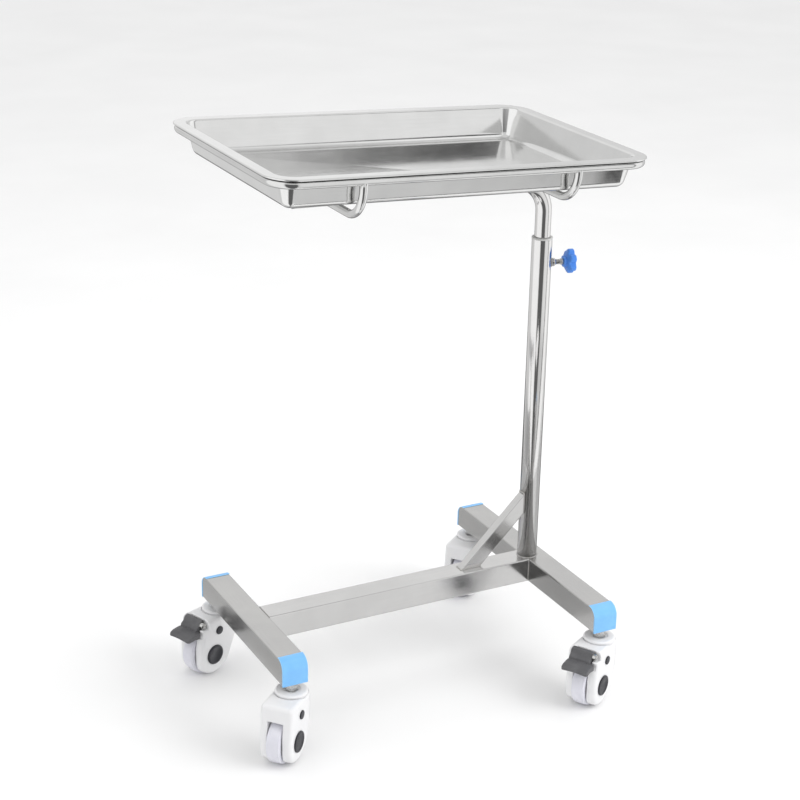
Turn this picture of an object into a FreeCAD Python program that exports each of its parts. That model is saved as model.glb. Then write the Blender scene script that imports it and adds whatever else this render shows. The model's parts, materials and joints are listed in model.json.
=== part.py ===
import FreeCAD, Part
import math
import os

# Instrument stand on four swivel casters: an H-shaped base of square steel tube, an off-centre
# telescopic mast with a star-knob clamp, and a support ring that carries a lift-out tray.
# Millimetres, +Z up. The base is laid out about the middle of the long beam, and the finished
# assembly is moved sideways so that the origin is on the floor under the middle of its box.

V = FreeCAD.Vector
X_AXIS = V(1, 0, 0)
Y_AXIS = V(0, 1, 0)
Z_AXIS = V(0, 0, 1)
ORIGIN = V(0, 0, 0)

# --- driving dimensions -------------------------------------------------------------------------

# H base
TUBE = 40.0                    # outside size of the square tube
TUBE_WALL = 1.5
TUBE_EDGE = 2.0                # rounding of the tube's long edges
BASE_TOP = 158.0               # top of the base over the floor
BASE_BOTTOM = BASE_TOP - TUBE
BEAM_SPACING = 505.0           # between the middles of the two cross beams
LEFT_BEAM = 320.0              # cross beam at the free end, over its end caps
RIGHT_BEAM = 440.0             # cross beam at the mast end, over its end caps
CAP_THICKNESS = 3.0
CAP_ARC = 18.0                 # radius of the cap over the beam's top corner
CAP_PROUD = 0.4                # how far the cap stands out from the sides of the tube
CAP_INSERT_DEPTH = 9.0
CAP_INSERT_WALL = 2.0
STEM_INSET = 15.0              # caster stem to the outer face of the end cap

# mast, clamp and brace
MAST_OFFSET = 12.5             # mast axis to the middle of the right cross beam
MAST_OD = 32.0
MAST_ID = 29.0
MAST_TOP = 701.0
BUSH_LENGTH = 30.0
BUSH_FLANGE_OD = 33.0
BUSH_FLANGE = 2.5
FIT_GAP = 0.02                 # between pieces that are pressed or glued together
SLIDE_GAP = 0.05               # radial running clearance
CLAMP_HEIGHT = 661.0
CLAMP_TURN = -12.0             # degrees from +X about the mast
BOSS_OD = 13.0
BOSS_REACH = 24.0              # outer end of the boss from the mast axis
BOSS_TAPER = 3.0               # length of the cone at its outer end
SCREW_OD = 8.0
SHOE_OD = 7.8
SHOE_END = 16.5                # outer end of the clamp shoe from the mast axis
SHOE_GAP = 0.1                 # between the shoe and the post with the clamp open
KNOB_HUB = 36.0                # back of the knob's hub from the mast axis
KNOB_BACK = 41.0               # back of the star
KNOB_FRONT = 53.0
KNOB_FACE = 5.0                # closed front of the knob over the screw
KNOB_HUB_OD = 19.0
KNOB_LOBES = 6
KNOB_BODY_RADIUS = 15.5
KNOB_LOBE_RADIUS = 6.0
KNOB_LOBE_PITCH = 14.0         # radius of the circle that the lobes sit on
BRACE_WIDTH = 25.0
BRACE_THICKNESS = 15.0
BRACE_WALL = 1.5
BRACE_FOOT = 147.0             # where the underside of the brace meets the long beam
BRACE_LAP = 4.0                # spare length that is cut to the beam and round the mast

# telescopic post
POST_OD = 25.0
POST_ID = 22.0
POST_FOOT = 200.0              # lower end of the post, inside the mast
BEND_RADIUS = 50.0
GUIDE_OD = 28.9
GUIDE_LENGTH = 30.0
PLUG_FLANGE = 4.0
PLUG_DEPTH = 15.0
FOOT_PLUG_OD = POST_OD + 3.0

# tray and its support, laid out flat about the middle of the rim and then tilted together
TRAY_X = 3.0
TRAY_HEIGHT = 880.0            # middle of the rim over the floor
TRAY_TILT = 2.8                # degrees, the free end is the higher one
TRAY_LENGTH = 605.0
TRAY_WIDTH = 400.0
TRAY_CORNER = 44.0
TRAY_DEPTH = 48.0
TRAY_SHEET = 1.2
FLANGE_FLAT = 17.0
FLANGE_BEND = 4.0
WALL_LEAN = 15.0               # degrees, the walls open upward
COVE_RADIUS = 12.0
HEM = 2.8                      # thickness of the folded rim
RING_BAR = 12.0
RING_INSET = 8.0               # ring's centre line inside the rim
RING_Z = -(HEM + RING_BAR / 2)
ROD_SADDLE = 0.5               # how deep the ring sinks into the end of each rod
ROD_BAR = 12.0
ROD_BEND = 42.0
LEFT_ROD_X = -168.0
RIGHT_ROD_X = 172.0
ARM_DROP = 79.0                # arm's centre line under the middle of the rim
ARM_SAG = 0.8                  # degrees between the arm and the tray, the arm is nearer level
ARM_END_X = -182.0
ARM_CAP = 2.5

# casters
WHEEL_RADIUS = 37.5
WHEEL_WIDTH = 22.0
TRAIL = 32.0                   # axle behind the swivel axis
FORK_TOP = 100.0
FORK_HALF_WIDTH = 28.0
FORK_BACK_LOW = 70.0           # lower end of the fork's back
FORK_HEAD_FRONT = 55.0         # front of the fork's head from the swivel axis
FORK_FRONT = 61.0              # front of the cheeks, lower down
FORK_CORNER = 12.0             # round vertical corners
FORK_BROW = 6.0                # round top edge at the front
CHEEK_RADIUS = 33.0            # round lower end of each cheek about the axle
CHEEK_SHOULDER = 16.0          # height over the axle where the cheek's front turns round
CHEEK_BACK_ANGLE = 215.0       # degrees round the axle to where its back starts
SLOT_HALF_WIDTH = 12.5
SLOT_RADIUS = 40.0
APRON_BOTTOM = 76.0
HEAD_UNDERSIDE = 74.0          # ceiling of the slot under the stem's head
DISC_OD = 50.0
DISC_TOP = 104.0
RECESS_OD = 52.0
RECESS_DEPTH = 3.0
STEM_OD = 12.0
STEM_HEAD_OD = 20.0
STEM_HEAD = 4.0
STEM_HEAD_TOP = 82.0
STEM_HEAD_ROOM = 0.3           # play over the stem's head inside the fork
STEM_TOP = BASE_BOTTOM + 15.0
NUT_AF = 18.0                  # across the flats of the stem nuts
WELD_NUT = 9.0
AXLE_OD = 8.0
AXLE_HALF = 24.0
AXLE_CAP_OD = 33.0
TRIM_OD = 14.0
TRIM_BACK = 10.5               # small trim cap towards the swivel axis from the axle
TRIM_RISE = 40.0               # and above the axle
CAP_RECESS = 1.6
CAP_PLATE = 2.4
TREAD_ROUNDING = 4.0
HUB_RADIUS = 28.5
HUB_RIM = 4.0                  # rim of the hub outside the dish, and the dish's depth
HUB_BOSS = 3.0                 # wall of the hub round the bearings
BEARING_LEDGE = 2.0
BEARING_OD = 22.0
BEARING_WIDTH = 7.0

# brake pedal, on two of the casters, in the caster's own frame: along the trail, sideways, up
PEDAL_PIN_OUT = 50.0
PEDAL_PIN_UP = 93.0
PEDAL_PIN_OD = 5.0
PEDAL_HEAD_OD = 8.0
PEDAL_HEAD = 3.5
PEDAL_PIN_HALF = FORK_HALF_WIDTH - 4.3
PEDAL_ROOM_BACK = 42.0         # back of the room for the pedal in the fork
PEDAL_ROOM_GAP = 0.6
PEDAL_HALF_WIDTH = 15.5
PEDAL_BLOCK = ((44, 99.5), (51, 99.5), (57, 91), (62, 83), (62, 77), (52, 78), (44, 86))
PEDAL_TIP_HALF_WIDTH = 22.0
PEDAL_TREAD = ((59, 86), (79, 83), (85, 81), (84, 77), (63, 76))
PEDAL_NOSE_HALF_WIDTH = 9.0    # nose under the block that presses on the tyre
PEDAL_NOSE = ((48, 87), (61, 81), (60, 76), (56, 72), (54, 71))

RIGHT_X = BEAM_SPACING / 2
LEFT_X = -BEAM_SPACING / 2
MAST_X = RIGHT_X - MAST_OFFSET
AXLE_Z = WHEEL_RADIUS

# Each caster: name, x and y of its stem, heading of its trail in degrees, with or without brake.
CASTERS = (
    ("left_near", LEFT_X, -(LEFT_BEAM / 2 - STEM_INSET), 221.0, False),
    ("left_far", LEFT_X, LEFT_BEAM / 2 - STEM_INSET, 201.5, True),
    ("right_near", RIGHT_X, -(RIGHT_BEAM / 2 - STEM_INSET), 210.0, True),
    ("right_far", RIGHT_X, RIGHT_BEAM / 2 - STEM_INSET, 217.0, False),
)

# --- shape helpers ------------------------------------------------------------------------------


def cylinder(radius, start, direction, length):
    return Part.makeCylinder(radius, length, start, direction)


def ring(outer_radius, inner_radius, start, direction, length):
    bore = cylinder(inner_radius, start, direction, length)
    return cylinder(outer_radius, start, direction, length).cut(bore)


def box(low, high):
    size = high - low
    return Part.makeBox(size.x, size.y, size.z, low)


def hexagon_prism(across_flats, centre, height):
    radius = across_flats / math.sqrt(3)
    corners = [
        centre + V(radius * math.cos(math.radians(60 * k)), radius * math.sin(math.radians(60 * k)), 0)
        for k in range(7)
    ]
    return Part.Face(Part.makePolygon(corners)).extrude(V(0, 0, height))


def arc(start, middle, end):
    return Part.Arc(start, middle, end).toShape()


def line(start, end):
    return Part.LineSegment(start, end).toShape()


def corner_middle(centre, radius, first, second):
    """Middle point of an arc between two directions from its centre."""
    return centre + (first + second).normalize() * radius


def face(edges):
    return Part.Face(Part.Wire(Part.__sortEdges__(edges)))


def round_bar(path_edges, radius, start, direction):
    """A solid round bar along a smooth path that starts at a point in a direction."""
    section = Part.Wire(Part.Circle(start, direction, radius).toShape())
    return Part.Wire(path_edges).makePipeShell([section], True, True)


def edges_along(shape, axis):
    """Straight edges of a shape that are parallel to an axis."""
    found = []
    for edge in shape.Edges:
        if edge.Curve.TypeId != "Part::GeomLine":
            continue
        direction = (edge.Vertexes[-1].Point - edge.Vertexes[0].Point).normalize()
        if abs(direction.dot(axis)) > 0.999:
            found.append(edge)
    return found


def placed(shape, angle, position):
    """A copy turned about Z by an angle in degrees and then moved."""
    moved = shape.copy()
    moved.rotate(ORIGIN, Z_AXIS, angle)
    moved.translate(position)
    return moved


# --- H base -------------------------------------------------------------------------------------


def square_bar(low, high, axis, rounding):
    """A square bar between two corners with its long edges rounded."""
    bar = box(low, high)
    return bar.makeFillet(rounding, edges_along(bar, axis))


def long_beam():
    half = TUBE / 2
    inner = half - TUBE_WALL
    start = LEFT_X + half
    end = RIGHT_X - half
    outside = square_bar(V(start, -half, BASE_BOTTOM), V(end, half, BASE_TOP), X_AXIS, TUBE_EDGE)
    inside = box(V(start, -inner, BASE_BOTTOM + TUBE_WALL), V(end, inner, BASE_TOP - TUBE_WALL))
    return outside.cut(inside)


def end_profile(x, half_length, radius, width):
    """Side outline of a cross beam with a round top corner at each end, extruded along X."""
    first = V(x - width / 2, -half_length, BASE_BOTTOM)
    edges = []
    corner = BASE_TOP - radius
    for side in (-1, 1):
        centre = V(first.x, side * (half_length - radius), corner)
        foot = V(first.x, side * half_length, BASE_BOTTOM)
        shoulder = V(first.x, side * half_length, corner)
        crown = V(first.x, side * (half_length - radius), BASE_TOP)
        edges.append(line(foot, shoulder))
        edges.append(arc(shoulder, corner_middle(centre, radius, Y_AXIS * side, Z_AXIS), crown))
    edges.append(line(first, V(first.x, half_length, BASE_BOTTOM)))
    edges.append(line(V(first.x, radius - half_length, BASE_TOP), V(first.x, half_length - radius, BASE_TOP)))
    return face(edges).extrude(V(width, 0, 0))


def cross_beam(x, length):
    half = TUBE / 2
    inner = half - TUBE_WALL
    half_length = length / 2 - CAP_THICKNESS
    low = V(x - half, -half_length, BASE_BOTTOM)
    bar = square_bar(low, V(x + half, half_length, BASE_TOP), Y_AXIS, TUBE_EDGE)
    bar = bar.common(end_profile(x, half_length, CAP_ARC - CAP_THICKNESS, TUBE + 2))
    bar = bar.cut(box(V(x - inner, -half_length, BASE_BOTTOM + TUBE_WALL),
                      V(x + inner, half_length, BASE_TOP - TUBE_WALL)))
    for side in (-1, 1):
        stem = V(x, side * (length / 2 - STEM_INSET), BASE_BOTTOM)
        bar = bar.cut(cylinder(STEM_OD / 2 + SLIDE_GAP, stem, Z_AXIS, TUBE_WALL))
    return bar


def end_cap(x, length, side):
    """Plastic cap that follows the round end of a cross beam, with a hollow insert in the tube."""
    half_length = length / 2
    width = TUBE + 2 * CAP_PROUD
    outer = end_profile(x, half_length, CAP_ARC, width)
    tube_end = end_profile(x, half_length - CAP_THICKNESS, CAP_ARC - CAP_THICKNESS, width + 2)
    shell = outer.cut(tube_end)
    insert_width = TUBE - 2 * TUBE_WALL - 2 * FIT_GAP
    insert_low = BASE_TOP - TUBE / 2
    insert_high = BASE_TOP - TUBE_WALL - FIT_GAP
    reach = half_length - CAP_THICKNESS
    insert = end_profile(x, reach, CAP_ARC - CAP_THICKNESS, insert_width)
    insert = insert.common(box(V(x - TUBE, reach - CAP_INSERT_DEPTH - CAP_ARC, insert_low),
                               V(x + TUBE, reach, insert_high)))
    hollow_half = insert_width / 2 - CAP_INSERT_WALL
    hollow = box(V(x - hollow_half, 0, 0), V(x + hollow_half, reach - CAP_INSERT_WALL - CAP_ARC / 2,
                                            insert_high - CAP_INSERT_WALL))
    keep = box(V(x - TUBE, 0, 0), V(x + TUBE, half_length + 1, BASE_TOP + 1))
    cap = shell.common(keep).fuse(insert.cut(hollow)).removeSplitter()
    if side < 0:
        cap = cap.mirror(ORIGIN, Y_AXIS)
    return cap


def stem_nuts():
    """Hex nuts between the casters and the underside of the beams."""
    nuts = []
    for name, x, y, heading, brake in CASTERS:
        nut = hexagon_prism(NUT_AF, V(x, y, DISC_TOP), BASE_BOTTOM - DISC_TOP)
        nuts.append(nut.cut(cylinder(STEM_OD / 2 + SLIDE_GAP, V(x, y, DISC_TOP), Z_AXIS, TUBE)))
    return Part.makeCompound(nuts)


def weld_nuts():
    """Nuts welded inside the tube, which the caster stems screw into."""
    nuts = []
    for name, x, y, heading, brake in CASTERS:
        low = V(x, y, BASE_BOTTOM + TUBE_WALL)
        nut = hexagon_prism(NUT_AF, low, WELD_NUT)
        nuts.append(nut.cut(cylinder(STEM_OD / 2 + SLIDE_GAP, low, Z_AXIS, WELD_NUT)))
    return Part.makeCompound(nuts)


def brace():
    """Square-cut diagonal tube at 45 degrees between the long beam and the mast."""
    mast_face = MAST_X - MAST_OD / 2

    def bar(inset, half_thickness, spare):
        foot = BRACE_FOOT - inset * math.sqrt(2)
        rise = mast_face - foot + spare
        head = foot - (BRACE_WIDTH - 2 * inset) * math.sqrt(2)
        corners = [
            V(foot - spare, -half_thickness, BASE_TOP - spare),
            V(mast_face + spare, -half_thickness, BASE_TOP + rise),
            V(mast_face + spare, -half_thickness, BASE_TOP + mast_face - head + spare),
            V(head - spare, -half_thickness, BASE_TOP - spare),
        ]
        return Part.Face(Part.makePolygon(corners + corners[:1])).extrude(V(0, 2 * half_thickness, 0))

    half = BRACE_THICKNESS / 2
    # the upper end laps round the mast, the lower end is cut level with the beam
    solid = bar(0, half, BRACE_LAP).cut(bar(BRACE_WALL, half - BRACE_WALL, 2 * BRACE_LAP))
    solid = solid.cut(cylinder(MAST_OD / 2, V(MAST_X, 0, 0), Z_AXIS, MAST_TOP))
    solid = solid.common(box(V(0, -TUBE, BASE_TOP), V(MAST_X, TUBE, MAST_TOP)))
    return solid.Solids[0]


# --- mast and clamp -----------------------------------------------------------------------------


def clamp_axis():
    turn = math.radians(CLAMP_TURN)
    return V(math.cos(turn), math.sin(turn), 0)


def from_mast(reach):
    """Point on the clamp's axis at a distance from the mast's axis."""
    return V(MAST_X, 0, CLAMP_HEIGHT) + clamp_axis() * reach


def mast_tube():
    foot = V(MAST_X, 0, BASE_TOP)
    tube = ring(MAST_OD / 2, MAST_ID / 2, foot, Z_AXIS, MAST_TOP - BASE_TOP)
    return tube.cut(cylinder(SCREW_OD / 2 + SLIDE_GAP, from_mast(0), clamp_axis(), MAST_OD))


def mast_bush():
    low = V(MAST_X, 0, MAST_TOP - BUSH_LENGTH)
    sleeve = cylinder(MAST_ID / 2 - FIT_GAP, low, Z_AXIS, BUSH_LENGTH)
    lip = cylinder(BUSH_FLANGE_OD / 2, V(MAST_X, 0, MAST_TOP), Z_AXIS, BUSH_FLANGE)
    rim = [edge for edge in lip.Edges if edge.BoundBox.ZMin > MAST_TOP + BUSH_FLANGE / 2]
    lip = lip.makeFillet(1.0, rim)
    bore = cylinder(POST_OD / 2 + SLIDE_GAP, low, Z_AXIS, BUSH_LENGTH + BUSH_FLANGE)
    return sleeve.fuse(lip).cut(bore).removeSplitter()


def clamp_boss():
    start = MAST_ID / 2
    cone_start = BOSS_REACH - BOSS_TAPER
    boss = cylinder(BOSS_OD / 2, from_mast(start), clamp_axis(), cone_start - start)
    cone = Part.makeCone(BOSS_OD / 2, BOSS_OD / 2 - 2, BOSS_TAPER, from_mast(cone_start), clamp_axis())
    boss = boss.fuse(cone).cut(cylinder(MAST_OD / 2, V(MAST_X, 0, 0), Z_AXIS, MAST_TOP))
    return boss.cut(cylinder(SCREW_OD / 2 + SLIDE_GAP, from_mast(0), clamp_axis(), MAST_OD)).removeSplitter()


def clamp_shoe():
    start = POST_OD / 2 + SHOE_GAP
    return cylinder(SHOE_OD / 2, from_mast(start), clamp_axis(), SHOE_END - start)


def clamp_screw():
    return cylinder(SCREW_OD / 2, from_mast(SHOE_END), clamp_axis(), KNOB_FRONT - KNOB_FACE - SHOE_END)


def clamp_knob():
    hub = cylinder(KNOB_HUB_OD / 2, from_mast(KNOB_HUB), clamp_axis(), KNOB_BACK - KNOB_HUB + 1)
    thickness = KNOB_FRONT - KNOB_BACK
    star = cylinder(KNOB_BODY_RADIUS, from_mast(KNOB_BACK), clamp_axis(), thickness)
    sideways = clamp_axis().cross(Z_AXIS)
    for k in range(KNOB_LOBES):
        turn = 2 * math.pi * (k + 0.5) / KNOB_LOBES
        offset = (sideways * math.cos(turn) + Z_AXIS * math.sin(turn)) * KNOB_LOBE_PITCH
        star = star.fuse(cylinder(KNOB_LOBE_RADIUS, from_mast(KNOB_BACK) + offset, clamp_axis(), thickness))
    knob = star.fuse(hub).removeSplitter()
    bore_depth = KNOB_FRONT - KNOB_FACE - KNOB_HUB
    return knob.cut(cylinder(SCREW_OD / 2 + FIT_GAP, from_mast(KNOB_HUB), clamp_axis(), bore_depth))


# --- telescopic post ----------------------------------------------------------------------------


def on_tray_frame(shape):
    """Tilts and lifts a shape laid out flat about the middle of the tray's rim."""
    moved = shape.copy()
    moved.rotate(ORIGIN, Y_AXIS, TRAY_TILT)
    moved.translate(V(TRAY_X, 0, TRAY_HEIGHT))
    return moved


def tray_point(x, y, z):
    """Place of a point of the flat layout once the tray is tilted and lifted."""
    turn = FreeCAD.Rotation(Y_AXIS, TRAY_TILT)
    return turn.multVec(V(x, y, z)) + V(TRAY_X, 0, TRAY_HEIGHT)


def arm_level(x):
    """Height of the arm's centre line in the flat layout."""
    return x * math.tan(math.radians(ARM_SAG)) - ARM_DROP


def post_path():
    """The mast's axis up to the bend, the bend, and the arm under the tray."""
    arm_end = tray_point(ARM_END_X, 0, arm_level(ARM_END_X))
    arm_way = (arm_end - tray_point(0, 0, arm_level(0))).normalize()
    corner = arm_end - arm_way * ((arm_end.x - MAST_X) / arm_way.x)
    turn = Z_AXIS.getAngle(arm_way)
    tangent = BEND_RADIUS * math.tan(turn / 2)
    bend_start = corner - Z_AXIS * tangent
    bend_end = corner + arm_way * tangent
    centre = bend_start - X_AXIS * BEND_RADIUS
    bend_middle = centre + (corner - centre).normalize() * BEND_RADIUS
    foot = V(MAST_X, 0, POST_FOOT)
    edges = [line(foot, bend_start), arc(bend_start, bend_middle, bend_end), line(bend_end, arm_end)]
    return foot, edges, arm_end, arm_way


def post():
    foot, edges, arm_end, arm_way = post_path()
    outside = round_bar(edges, POST_OD / 2, foot, Z_AXIS)
    inside = round_bar(edges, POST_ID / 2, foot, Z_AXIS)
    return outside.cut(inside)


def plug(flange_radius, seat, direction, flange):
    """Plug with a flange at one end of the post's tube and a spigot inside it."""
    spigot = cylinder(POST_ID / 2 - FIT_GAP, seat, direction, PLUG_DEPTH)
    return cylinder(flange_radius, seat - direction * flange, direction, flange).fuse(spigot).removeSplitter()


def post_foot_plug():
    return plug(FOOT_PLUG_OD / 2, V(MAST_X, 0, POST_FOOT), Z_AXIS, PLUG_FLANGE)


def arm_end_plug():
    foot, edges, arm_end, arm_way = post_path()
    return plug(POST_OD / 2, arm_end, arm_way * -1, ARM_CAP)


def post_guide():
    return ring(GUIDE_OD / 2, POST_OD / 2 + SLIDE_GAP, V(MAST_X, 0, POST_FOOT), Z_AXIS, GUIDE_LENGTH)


# --- tray and its support -----------------------------------------------------------------------


def corner_wire(half_x, half_y, radius, z):
    """Edges of a rounded rectangle about the origin."""
    edges = []
    for sx, sy in ((1, 1), (-1, 1), (-1, -1), (1, -1)):
        centre = V(sx * (half_x - radius), sy * (half_y - radius), z)
        side = centre + X_AXIS * (sx * radius)
        end = centre + Y_AXIS * (sy * radius)
        edges.append(arc(side, corner_middle(centre, radius, X_AXIS * sx, Y_AXIS * sy), end))
    for sign in (-1, 1):
        edges.append(line(V(radius - half_x, sign * half_y, z), V(half_x - radius, sign * half_y, z)))
        edges.append(line(V(sign * half_x, radius - half_y, z), V(sign * half_x, half_y - radius, z)))
    return Part.__sortEdges__(edges)


def wall_profile():
    """Section of the tray's rim and wall: x is the reach from the corner's axis, z is the height."""
    reach = TRAY_CORNER
    bend_in = reach - FLANGE_FLAT
    hem_in = reach - HEM
    floor = TRAY_SHEET - TRAY_DEPTH
    lean = math.radians(WALL_LEAN)
    outward = V(math.cos(lean), 0, -math.sin(lean))
    downward = V(-math.sin(lean), 0, -math.cos(lean))
    bend_centre = V(bend_in, 0, -FLANGE_BEND)
    wall_top = bend_centre - outward * FLANGE_BEND
    cove_rise = COVE_RADIUS * (1 - math.sin(lean))
    wall_foot = wall_top + downward * ((wall_top.z - floor - cove_rise) / math.cos(lean))
    cove_centre = wall_foot - outward * COVE_RADIUS
    cove_in = cove_centre.x
    sheet = outward * TRAY_SHEET
    inner_bend = FLANGE_BEND - TRAY_SHEET
    outer_cove = COVE_RADIUS + TRAY_SHEET
    down = Z_AXIS * -1
    return face([
        line(V(reach, 0, -HEM), V(reach, 0, 0)),
        line(V(reach, 0, 0), V(bend_in, 0, 0)),
        arc(V(bend_in, 0, 0), corner_middle(bend_centre, FLANGE_BEND, outward * -1, Z_AXIS), wall_top),
        line(wall_top, wall_foot),
        arc(wall_foot, corner_middle(cove_centre, COVE_RADIUS, outward, down), V(cove_in, 0, floor)),
        line(V(cove_in, 0, floor), V(cove_in, 0, -TRAY_DEPTH)),
        arc(V(cove_in, 0, -TRAY_DEPTH), corner_middle(cove_centre, outer_cove, outward, down),
            wall_foot + sheet),
        line(wall_foot + sheet, wall_top + sheet),
        arc(wall_top + sheet, corner_middle(bend_centre, inner_bend, outward * -1, Z_AXIS),
            V(bend_in, 0, -TRAY_SHEET)),
        line(V(bend_in, 0, -TRAY_SHEET), V(hem_in, 0, -TRAY_SHEET)),
        line(V(hem_in, 0, -TRAY_SHEET), V(hem_in, 0, -HEM)),
        line(V(hem_in, 0, -HEM), V(reach, 0, -HEM)),
    ]), cove_in


def tray():
    """Deep-drawn tray: a coved wall extruded along the sides and turned round the corners."""
    profile, floor_reach = wall_profile()
    run_x = TRAY_LENGTH / 2 - TRAY_CORNER
    run_y = TRAY_WIDTH / 2 - TRAY_CORNER
    pieces = []
    for k, (cx, cy, run) in enumerate(((1, 1, run_x), (-1, 1, run_y), (-1, -1, run_x), (1, -1, run_y))):
        centre = V(cx * run_x, cy * run_y, 0)
        section = placed(profile, 90 * k, centre)
        pieces.append(section.revolve(centre, Z_AXIS, 90))
        side = placed(profile, 90 * (k + 1), centre)
        away = FreeCAD.Rotation(Z_AXIS, 90 * (k + 1)).multVec(Y_AXIS)
        pieces.append(side.extrude(away * (2 * run)))
    floor_edges = corner_wire(run_x + floor_reach, run_y + floor_reach, floor_reach, -TRAY_DEPTH)
    pieces.append(Part.Face(Part.Wire(floor_edges)).extrude(V(0, 0, TRAY_SHEET)))
    shell = pieces[0].multiFuse(pieces[1:]).removeSplitter()
    return on_tray_frame(shell.Solids[0])


def support_ring():
    half_x = TRAY_LENGTH / 2 - RING_INSET
    half_y = TRAY_WIDTH / 2 - RING_INSET
    edges = corner_wire(half_x, half_y, TRAY_CORNER - RING_INSET, RING_Z)
    start = edges[0].valueAt(edges[0].FirstParameter)
    way = edges[0].tangentAt(edges[0].FirstParameter)
    return on_tray_frame(round_bar(edges, RING_BAR / 2, start, way))


def cross_rod(x):
    """Rod across the arm, turned up at both ends and welded under the ring."""
    half_y = TRAY_WIDTH / 2 - RING_INSET
    top = RING_Z - RING_BAR / 2 + ROD_SADDLE
    run_z = arm_level(x) + (POST_OD + ROD_BAR) / 2
    bend_z = run_z + ROD_BEND
    points = {}
    edges = []
    for side in (-1, 1):
        upper = V(x, side * half_y, top)
        bend_top = V(x, side * half_y, bend_z)
        centre = V(x, side * (half_y - ROD_BEND), bend_z)
        bend_foot = V(x, side * (half_y - ROD_BEND), run_z)
        middle = corner_middle(centre, ROD_BEND, Y_AXIS * side, Z_AXIS * -1)
        points[side] = (upper, bend_top, middle, bend_foot)
    upper, bend_top, middle, bend_foot = points[-1]
    edges += [line(upper, bend_top), arc(bend_top, middle, bend_foot), line(bend_foot, points[1][3])]
    edges += [arc(points[1][3], points[1][2], points[1][1]), line(points[1][1], points[1][0])]
    rod = round_bar(edges, ROD_BAR / 2, upper, Z_AXIS * -1)
    ring_run = cylinder(RING_BAR / 2, V(x - TUBE, -half_y, RING_Z), X_AXIS, 2 * TUBE)
    far_run = cylinder(RING_BAR / 2, V(x - TUBE, half_y, RING_Z), X_AXIS, 2 * TUBE)
    return on_tray_frame(rod.cut(ring_run).cut(far_run))


# --- casters, in the caster's own frame: +X along the trail, origin on the floor under the stem --


def side_slab(edges, half_width):
    """A side outline in the XZ plane, extruded evenly to both sides."""
    return face(edges).translated(V(0, -half_width, 0)).extrude(V(0, 2 * half_width, 0))


def fork():
    axle = V(TRAIL, 0, AXLE_Z)
    half = FORK_HALF_WIDTH
    # side outline: flat top, front leaning out a little, round under the axle, slanting up behind
    cheek_front = axle + V(math.sqrt(CHEEK_RADIUS ** 2 - CHEEK_SHOULDER ** 2), 0, CHEEK_SHOULDER)
    slant = math.radians(CHEEK_BACK_ANGLE)
    round_back = axle + V(math.cos(slant), 0, math.sin(slant)) * CHEEK_RADIUS
    brow_back = V(FORK_HEAD_FRONT - FORK_BROW, 0, FORK_TOP)
    brow_low = V(FORK_HEAD_FRONT, 0, FORK_TOP - FORK_BROW)
    brow_centre = V(brow_back.x, 0, brow_low.z)
    outline = [
        line(V(-half, 0, FORK_TOP), brow_back),
        arc(brow_back, corner_middle(brow_centre, FORK_BROW, X_AXIS, Z_AXIS), brow_low),
        line(brow_low, cheek_front),
        arc(cheek_front, axle + V(0, 0, -CHEEK_RADIUS), round_back),
        line(round_back, V(-half, 0, FORK_BACK_LOW)),
        line(V(-half, 0, FORK_BACK_LOW), V(-half, 0, FORK_TOP)),
    ]
    side = side_slab(outline, half)
    # plan outline: round about the stem, square with round corners at the front
    corner = FORK_CORNER
    plan = [arc(V(0, half, 0), V(-half, 0, 0), V(0, -half, 0))]
    for sign in (-1, 1):
        centre = V(FORK_FRONT - corner, sign * (half - corner), 0)
        shoulder = centre + Y_AXIS * (sign * corner)
        plan.append(line(V(0, sign * half, 0), shoulder))
        middle = corner_middle(centre, corner, X_AXIS, Y_AXIS * sign)
        plan.append(arc(shoulder, middle, centre + X_AXIS * corner))
    plan.append(line(V(FORK_FRONT, corner - half, 0), V(FORK_FRONT, half - corner, 0)))
    body = side.common(face(plan).extrude(V(0, 0, FORK_TOP + 1)))
    # slot for the wheel, open to the front under the apron and to the floor
    slot = cylinder(SLOT_RADIUS, axle - Y_AXIS * SLOT_HALF_WIDTH, Y_AXIS, 2 * SLOT_HALF_WIDTH)
    slot = slot.fuse(box(V(TRAIL, -SLOT_HALF_WIDTH, 0), V(FORK_FRONT + 1, SLOT_HALF_WIDTH, APRON_BOTTOM)))
    slot_back = -STEM_HEAD_OD / 2 - 1
    slot = slot.fuse(box(V(slot_back, -SLOT_HALF_WIDTH, 0), V(TRAIL, SLOT_HALF_WIDTH, HEAD_UNDERSIDE)))
    body = body.cut(slot)
    # head: recess for the cover disc, bore for the stem and room for its head below
    body = body.cut(cylinder(RECESS_OD / 2, V(0, 0, FORK_TOP - RECESS_DEPTH), Z_AXIS, RECESS_DEPTH))
    under_head = V(0, 0, AXLE_Z)
    body = body.cut(cylinder(STEM_OD / 2 + SLIDE_GAP, under_head, Z_AXIS, FORK_TOP))
    room_height = STEM_HEAD_TOP + STEM_HEAD_ROOM - AXLE_Z
    body = body.cut(cylinder(STEM_HEAD_OD / 2 + 0.5, under_head, Z_AXIS, room_height))
    # bore for the axle, and shallow seats for the black caps on both cheeks
    body = body.cut(cylinder(AXLE_OD / 2 + FIT_GAP, axle - Y_AXIS * half, Y_AXIS, 2 * half))
    trim = V(TRAIL - TRIM_BACK, 0, AXLE_Z + TRIM_RISE)
    for sign in (-1, 1):
        for centre, diameter in ((axle, AXLE_CAP_OD), (trim, TRIM_OD)):
            seat = centre + Y_AXIS * (sign * (half - CAP_RECESS))
            body = body.cut(cylinder(diameter / 2 + 0.1, seat, Y_AXIS * sign, CAP_RECESS + 1))
    return body.removeSplitter()


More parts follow.
